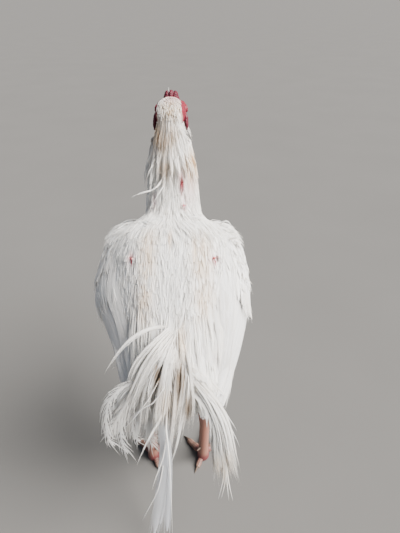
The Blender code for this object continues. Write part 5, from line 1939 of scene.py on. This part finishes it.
def build_coat(trunk, head):
    white = feather_material(
        "body_feather", (0.88, 0.87, 0.845), (0.76, 0.74, 0.71), (0.72, 0.53, 0.34), 55.0
    )
    hackle = feather_material(
        "hackle_feather", (0.88, 0.865, 0.83), (0.76, 0.73, 0.69), (0.63, 0.42, 0.23), 70.0
    )
    flight = feather_material(
        "flight_feather", (0.89, 0.88, 0.865), (0.80, 0.78, 0.76), (0.76, 0.57, 0.36), 120.0
    )
    worn = feather_material(
        "tail_feather", (0.87, 0.855, 0.82), (0.78, 0.75, 0.71), (0.74, 0.54, 0.32), 130.0
    )
    # Bluish-grey feather for the tail's vanes: painted shade, for vanes that lie in shade
    shaded = feather_material(
        "painted_shade_vane_feather", (0.47, 0.485, 0.52), (0.49, 0.49, 0.505), (0.62, 0.52, 0.40), 130.0
    )
    body_tracts(white, hackle, trunk)
    saddle_tract(hackle, trunk)
    neck_tract(hackle, trunk, head)
    head_tract(white, head)
    spot_tufts(white, trunk)
    thigh_tracts(white, trunk)
    wing_tracts(white, flight, trunk)
    tail_tract(worn, shaded, trunk)


# Comb, lobes, bill and eyes


def comb_piece(material):
    pieces = []
    for row, (offset, height, bulbs) in enumerate(
        ((0.0, 0.0062, 6), (-0.0058, 0.0040, 5), (0.0058, 0.0040, 5))
    ):
        for i in range(bulbs):
            share = i / (bulbs - 1)
            forward = 0.0060 + 0.0290 * share + (0.0015 if row else 0.0)
            lift = 0.0207 - 0.0310 * max(share - 0.25, 0.0) ** 1.6
            radius = 0.0036 + 0.0012 * math.sin(math.pi * share)
            height *= 0.96 - 0.06 * (offset > 0)
            place = head_point(offset + uniform(-0.0006, 0.0006), forward, lift + 0.30 * height)
            pieces.append(ball("bulb", place, (radius * 0.9, radius * 1.1, radius + height * 0.5)))
            pieces.append(
                ball("bulb", place + Vector((0, 0, -0.003)), (radius * 1.15, radius * 1.35, radius))
            )
    comb = melted("comb_skin", pieces, 0.0005, 3)
    moved_points(
        comb, lambda place,
        normal: place + normal * (noise.noise(place * 900) * 0.00035 + noise.noise(place * 380) * 0.0005)
    )
    comb.data.shade_smooth()
    grown(comb, BEADS, Everywhere=1.0, Size=0.00045, Density=320000.0, Seed=3, Material=material)
    return finish(comb, material, "red_skin", "comb")


# Rows of each lobe from its top: side, ahead and up, then half width, above and below
EAR_LOBE = (
    (0.0, 0, 0.008, 0.0012, 0.0024, 0.0024),
    (0.0008, 0, 0.003, 0.0024, 0.0050, 0.0050),
    (0.0016, -0.001, -0.004, 0.0025, 0.0060, 0.0056),
    (0.0020, -0.001, -0.009, 0.0021, 0.0050, 0.0046),
    (0.0020, -0.002, -0.014, 0.0010, 0.0018, 0.0018),
)
WATTLE = (
    (0.0, 0, 0.004, 0.0014, 0.0030, 0.0030),
    (0.001, 0.000, -0.002, 0.0030, 0.0062, 0.0060),
    (0.002, -0.001, -0.009, 0.0030, 0.0066, 0.0066),
    (0.002, -0.002, -0.015, 0.0022, 0.0048, 0.0048),
    (0.002, -0.002, -0.019, 0.0010, 0.0018, 0.0018),
)


def hung(side, top, rows, name, node, waves, swell, seed, material):
    """A soft lobe that hangs from the head, pebbled all over."""
    rows = [(*(top + Vector((side * x, y, z))), *sizes) for x, y, z, *sizes in rows]
    lobe = tube(name, Oval(rows, Vector((0, 1, 0))).rings(34, 30))
    moved_points(lobe, lambda place, normal: place + normal * noise.noise(place * waves) * swell)
    lobe.data.shade_smooth()
    grown(lobe, BEADS, Everywhere=1.0, Size=0.00035, Density=300000.0, Seed=seed, Material=material)
    finish(lobe, material, "red_skin", node)


def lobes(material):
    for side, name in SIDES:
        top = head_point(side * 0.0206, -0.0095, -0.0060)
        hung(side, top, EAR_LOBE, "ear_lobe_skin_" + name, "ear_lobe_" + name, 420, 0.0007, 4, material)
        top = head_point(side * 0.0075, 0.0280, -0.0140)
        hung(side, top, WATTLE, "wattle_skin_" + name, "wattle_" + name, 380, 0.0008, 5, material)


def bill_rows(shares):
    return [(*head_point(0, forward, up), *sizes) for forward, up, *sizes in shares]


def bill(material):
    upper = [
        (0.0390, -0.0024, 0.0100, 0.0082, 0.0050),
        (0.0424, -0.0030, 0.0098, 0.0080, 0.0048),
        (0.0480, -0.0036, 0.0088, 0.0076, 0.0043),
        (0.0540, -0.0050, 0.0074, 0.0068, 0.0036),
        (0.0600, -0.0078, 0.0058, 0.0058, 0.0030),
        (0.0645, -0.0118, 0.0040, 0.0046, 0.0026),
        (0.0668, -0.0160, 0.0022, 0.0030, 0.0022),
        (0.0672, -0.0190, 0.0009, 0.0012, 0.0012),
    ]
    piece = tube("bill_upper_horn", Oval(bill_rows(upper), Vector((0, 0.2, 1))).rings(44, 36))

    def nostril(place, normal):
        for side in (-1, 1):
            gap = place - head_point(side * 0.0085, 0.0495, 0.0000)
            depth = 1 - math.sqrt((gap.y / 0.0024) ** 2 + (gap.z / 0.0013) ** 2 + (gap.x / 0.004) ** 2)
            if depth > 0:
                place = place - normal * 0.0016 * depth
        return place

    moved_points(piece, nostril).data.shade_smooth()
    finish(piece, material, "bill", "bill_upper")
    lower = [
        (0.0390, -0.0116, 0.0086, 0.0030, 0.0048),
        (0.0424, -0.0118, 0.0084, 0.0028, 0.0046),
        (0.0480, -0.0122, 0.0072, 0.0024, 0.0042),
        (0.0540, -0.0134, 0.0056, 0.0019, 0.0036),
        (0.0590, -0.0152, 0.0038, 0.0014, 0.0028),
        (0.0622, -0.0168, 0.0018, 0.0009, 0.0014),
    ]
    piece = tube("bill_lower_horn", Oval(bill_rows(lower), Vector((0, 0, 1))).rings(34, 28))
    piece.data.shade_smooth()
    finish(piece, material, "bill", "bill_lower")


def eyes(material):
    for side, name in SIDES:
        centre, outward = eye_centre(side), eye_outward(side)
        eye = ball("eye_pearl_" + name, Vector(), [EYE_RADIUS] * 3, segments=40, rings=28)
        turn = outward.to_track_quat("Z", "Y")
        values = np.empty(len(eye.data.vertices), dtype=np.float32)
        for i, vert in enumerate(eye.data.vertices):
            values[i] = min(
                math.hypot(vert.co.x, vert.co.y) / (EYE_RADIUS * 0.86), 1.0
            ) if vert.co.z > 0 else 1.0
            if vert.co.z > EYE_RADIUS * 0.75:
                vert.co.z += (vert.co.z - EYE_RADIUS * 0.75) * 0.25
        put_values(eye.data, "iris", values)
        eye.data.transform(Matrix.Translation(centre) @ turn.to_matrix().to_4x4())
        eye.data.shade_smooth()
        finish(eye, material, "eye", "eye_" + name)


# Legs


def scaled_tube(name, centres, radii, fronts, scute_count, sides, scute_height, flat=None):
    """A leg or toe with overlapping scutes along its front and small scales behind, as one closed mesh."""
    count = len(centres)
    rings, marks = [], []
    for row, (centre, along) in enumerate(zip(centres, directions(centres))):
        up = fronts[row]
        across = along.cross(up).normalized()
        up = across.cross(along).normalized()
        t = row / (count - 1)
        ring = []
        for k in range(sides):
            turn = 2 * math.pi * k / sides
            signed = turn if turn <= math.pi else turn - 2 * math.pi
            column = 0.5 if signed > 0 else 0.0
            phase = (t * scute_count + column + 0.25 * abs(signed) / 1.4) % 1.0
            front = abs(signed) < 1.45
            if front:
                height = scute_height * (phase**0.8) * (1 - (abs(signed) / 1.45) ** 8)
                groove = max(1 - phase / 0.16, 0.0)
                seam = max(1 - abs(signed) / 0.09, 0.0)
                height -= seam * scute_height * 0.6
                groove = max(groove, seam)
            else:
                ripple = math.sin(t * scute_count * 2 * math.pi * 1.7) * math.sin(signed * 9)
                height = scute_height * 0.35 * (0.5 + 0.5 * ripple)
                groove = 0.5 * max(-ripple, 0.0)
            wide, tall = radii[row]
            point = centre + across * (math.sin(turn) * (wide + height)) + up * (
                math.cos(turn) * (tall + height)
            )
            if flat is not None and point.z < flat:
                point.z = flat
            ring.append(point)
            # Low on the shank and at the toes' roots the skin turns deep red, darkened partly as painted
            # shade
            low = clamped((0.034 - point.z) / 0.018) * clamped(
                1.3 - (centre - centres[-1 if flat is None else 0]).length / 0.020
            )
            marks.append((groove, min(max((abs(signed) - 1.2) / 0.8, 0.0), 1.0), low, 1.0))
        rings.append(ring)
    made = tube(name, rings)
    marks += [(0.0, 0.5, 0.0, 1.0)] * 2
    data = made.data
    put_values(data, "scute", marks)
    data.shade_smooth()
    return made


TOES = {
    "middle": (4, 0.064, 4),
    "inner": (-38, 0.046, 3),
    "outer": (42, 0.050, 4),
    "hind": (-157, 0.028, 2),
}


TOE_HUB = 0.004
HIND_SLIM = 0.80
TOE_TAPER = 0.36
TOE_FLATNESS = 0.86


def toe_line(side, toe):
    """Where a toe starts, which way it points, and how slim it is."""
    turn = math.radians(TOES[toe][0])
    along = Vector((side * math.sin(turn), math.cos(turn), 0))
    return Vector((side * STANCE, TOE_HUB, 0.0)), along, HIND_SLIM if toe == "hind" else 1.0


def leg_skin(side, name, scales):
    pieces = []
    top = Vector((side * HOCK.x, HOCK.y, HOCK.z + 0.0200))
    bottom = Vector((side * ANKLE.x, ANKLE.y, ANKLE.z - 0.006))
    rows = 190
    centres, radii, fronts = [], [], []
    for i in range(rows):
        share = i / (rows - 1)
        swell = 1.0 + 0.42 * math.exp(-(((share - 0.05) / 0.14) ** 2)) + 0.16 * math.exp(
            -(((share - 1) / 0.12) ** 2)
        )
        radius = SHANK_RADIUS * swell - 0.0002
        if share < 0.02:
            radius *= 0.6 + 20 * share
        centres.append(top.lerp(bottom, share))
        radii.append((radius * 0.99, radius))
        fronts.append(Vector((0, 1, 0)))
    pieces.append(scaled_tube("shank_skin", centres, radii, fronts, 23, 60, 0.0011))
    pieces.append(ball_of_foot(side))
    for toe, (_, length, joints) in TOES.items():
        hub, along, slim = toe_line(side, toe)
        start = hub - along * 0.001
        end = hub + along * (length + 0.0002)
        rows = 34 + joints * 14
        centres, radii, fronts = [], [], []
        for i in range(rows):
            share = i / (rows - 1)
            bulge = 1.0 + 0.07 * math.cos(2 * math.pi * (share * joints + 0.5))
            radius = TOE_RADIUS * slim * (1.05 - TOE_TAPER * share) * bulge
            if share > 0.94:
                radius *= math.sqrt(max(1 - ((share - 0.94) / 0.075) ** 2, 0.0))
            rise = 0.010 * (1 - share) ** 2 if toe != "hind" else 0.006 * (1 - share)
            height = TOE_RADIUS * slim * (1.05 - TOE_TAPER * share) * TOE_FLATNESS
            centres.append(start.lerp(end, share) + Vector((0, 0, height + rise - 0.0006)))
            radii.append((radius, radius * 0.97))
            fronts.append(Vector((0, 0, 1)))
        pieces.append(scaled_tube("toe_skin", centres, radii, fronts, joints * 4, 30, 0.0009, 0.0))
    made = joined("leg_skin_" + name, pieces)
    made.data.shade_smooth()
    finish(made, scales, "leg_scale", "shank_" + name, "foot_" + name)


def claws(side, name, horn):
    for toe, (_, length, _) in TOES.items():
        hub, along, slim = toe_line(side, toe)
        end = hub + along * length
        height = TOE_RADIUS * slim * 0.69 * TOE_FLATNESS
        across = along.cross(Vector((0, 0, 1))).normalized()
        rings = []
        for i in range(18):
            share = i / 17
            centre = end + along * (0.0160 * slim * share - 0.0015 * (1 - share))
            radius = max(0.0040 * slim * (1 - share) ** 0.75, 0.0004)
            centre.z = max(height + 0.0002 - 0.0042 * share * share, radius * 0.9)
            ring = []
            for k in range(16):
                angle = 2 * math.pi * k / 16
                up = Vector((0, 0, radius * math.cos(angle) * 0.92))
                ring.append(centre + across * (radius * 0.8 * math.sin(angle)) + up)
            rings.append(ring)
        claw = tube("claw_horn_%s_%s" % (toe, name), rings)
        claw.data.shade_smooth()
        finish(claw, horn, "claw", "claw_%s_%s" % (toe, name))


def spur(side, name, horn):
    root = Vector((side * (STANCE - 0.003), -0.009, 0.046))
    tip = Vector((side * (STANCE - 0.012), -0.019, 0.044))
    along = (tip - root).normalized()
    across = along.cross(Vector((0, 0, 1))).normalized()
    lift = across.cross(along)
    turns = np.linspace(0, 2 * math.pi, 18, endpoint=False)
    rings = []
    for i in range(16):
        share = i / 15
        radius = max(0.0036 * (1 - share) ** 0.5, 0.0006)
        centre = root.lerp(tip, share)
        rings.append(
            [centre + across * (radius * math.sin(a)) + lift * (radius * math.cos(a)) for a in turns]
        )
    made = tube("spur_horn_" + name, rings)
    made.data.shade_smooth()
    finish(made, horn, "claw", "spur_" + name)


def ball_of_foot(side):
    centre = Vector((side * STANCE, 0.003, 0.0080))
    made = ball("pad", centre, (0.0113, 0.0123, 0.0108), segments=40, rings=28)
    data = made.data
    for vert in data.vertices:
        vert.co.z = max(vert.co.z, 0.0)
    # The whole pad is low: deep red, darkened partly as painted shade
    marks = [(0.0, 0.3, 1.0, 1.0)] * len(data.vertices)
    put_values(data, "scute", marks)
    return made


# Floor, lights and camera


def add_light(name, kind, place, aim, power, colour):
    light = bpy.data.lights.new(name, kind)
    light.energy = power
    light.color = colour
    made = linked(name, light)
    made.location = place
    made.rotation_euler = aim.to_track_quat("-Z", "Y").to_euler()
    return light


def stage():
    mesh = bmesh.new()
    bmesh.ops.create_grid(mesh, x_segments=2, y_segments=2, size=150.0)
    floor = mesh_object("floor", mesh)
    material = bpy.data.materials.new("floor_paper")
    tree, shader = nodes_of(material)
    mottle = placed_group(tree, MOTTLE, Patch_size=3.0, Grain_size=300.0)
    colour = mix_colours(tree, mottle.outputs["Patches"], (0.100, 0.098, 0.094), (0.114, 0.112, 0.108))
    tree.links.new(colour, shader.inputs["Base Color"])
    shader.inputs["Roughness"].default_value = 0.9
    floor.data.materials.append(material)

    world = bpy.data.worlds.new("studio")
    bpy.context.scene.world = world
    world.use_nodes = True
    world.node_tree.nodes["Background"].inputs["Color"].default_value = (0.70, 0.81, 1.0, 1)
    world.node_tree.nodes["Background"].inputs["Strength"].default_value = 0.27

    sun = add_light("soft_key", "SUN", (0, 0, 0), Vector((-1.66, 0.76, -1.60)), 17.0, (1.0, 0.955, 0.90))
    sun.angle = math.radians(50)
    place = Vector((-1.6, -1.4, 1.3))
    fill = add_light("soft_fill", "AREA", place, Vector((0, 0, 0.3)) - place, 3, (0.86, 0.92, 1.0))
    fill.size = 2.0

    camera = bpy.data.cameras.new("camera")
    camera.sensor_fit = "AUTO"
    camera.sensor_width = 36.0
    camera.lens = camera.sensor_width * FOCAL_PIXELS / PHOTO_HEIGHT
    camera.clip_start = 0.01
    made = linked("camera", camera)
    made.location = CAMERA_PLACE + SHIFT
    made.rotation_euler = (CAMERA_PITCH, 0, 0)
    bpy.context.scene.camera = made


def main():
    red = skin_material("red_skin", (0.13, 0.005, 0.022), None, False)
    flesh = skin_material("bird_skin", (0.24, 0.014, 0.034), (0.78, 0.74, 0.69), True)
    # The front colour is darker than the back partly as painted shade on the sunlit fronts of the shanks and
    # tops of the toes
    scales = scale_material("leg_scales", (0.150, 0.090, 0.070), (0.30, 0.128, 0.097), (0.24, 0.155, 0.110))
    bill_horn = horn_material("bill_horn", (0.78, 0.66, 0.42), (0.52, 0.38, 0.20), 130.0)
    claw_horn = horn_material("claw_horn", (0.095, 0.065, 0.048), (0.055, 0.037, 0.028), 200.0)

    head = head_skin()
    trunk = body_skin()
    trunk_surface, head_surface = surface_of(trunk), surface_of(head)
    place_markings([trunk_surface, head_surface])
    build_coat(trunk_surface, head_surface)

    skin = with_bare_attribute(joined("skin", [head, trunk] + sores()))
    skin.data.shade_smooth()
    grown(skin, BEADS, Size=0.00038, Density=110000.0, Seed=6, Material=flesh)
    finish(
        skin, flesh, "face", "head", "neck", "torso", "thigh_right", "thigh_left", "wing_right",
        "wing_left", "tail"
    )
    comb_piece(red)
    lobes(red)
    bill(bill_horn)
    eyes(eye_material())
    for side, name in SIDES:
        leg_skin(side, name, scales)
        claws(side, name, claw_horn)
        spur(side, name, claw_horn)
    stage()


main()
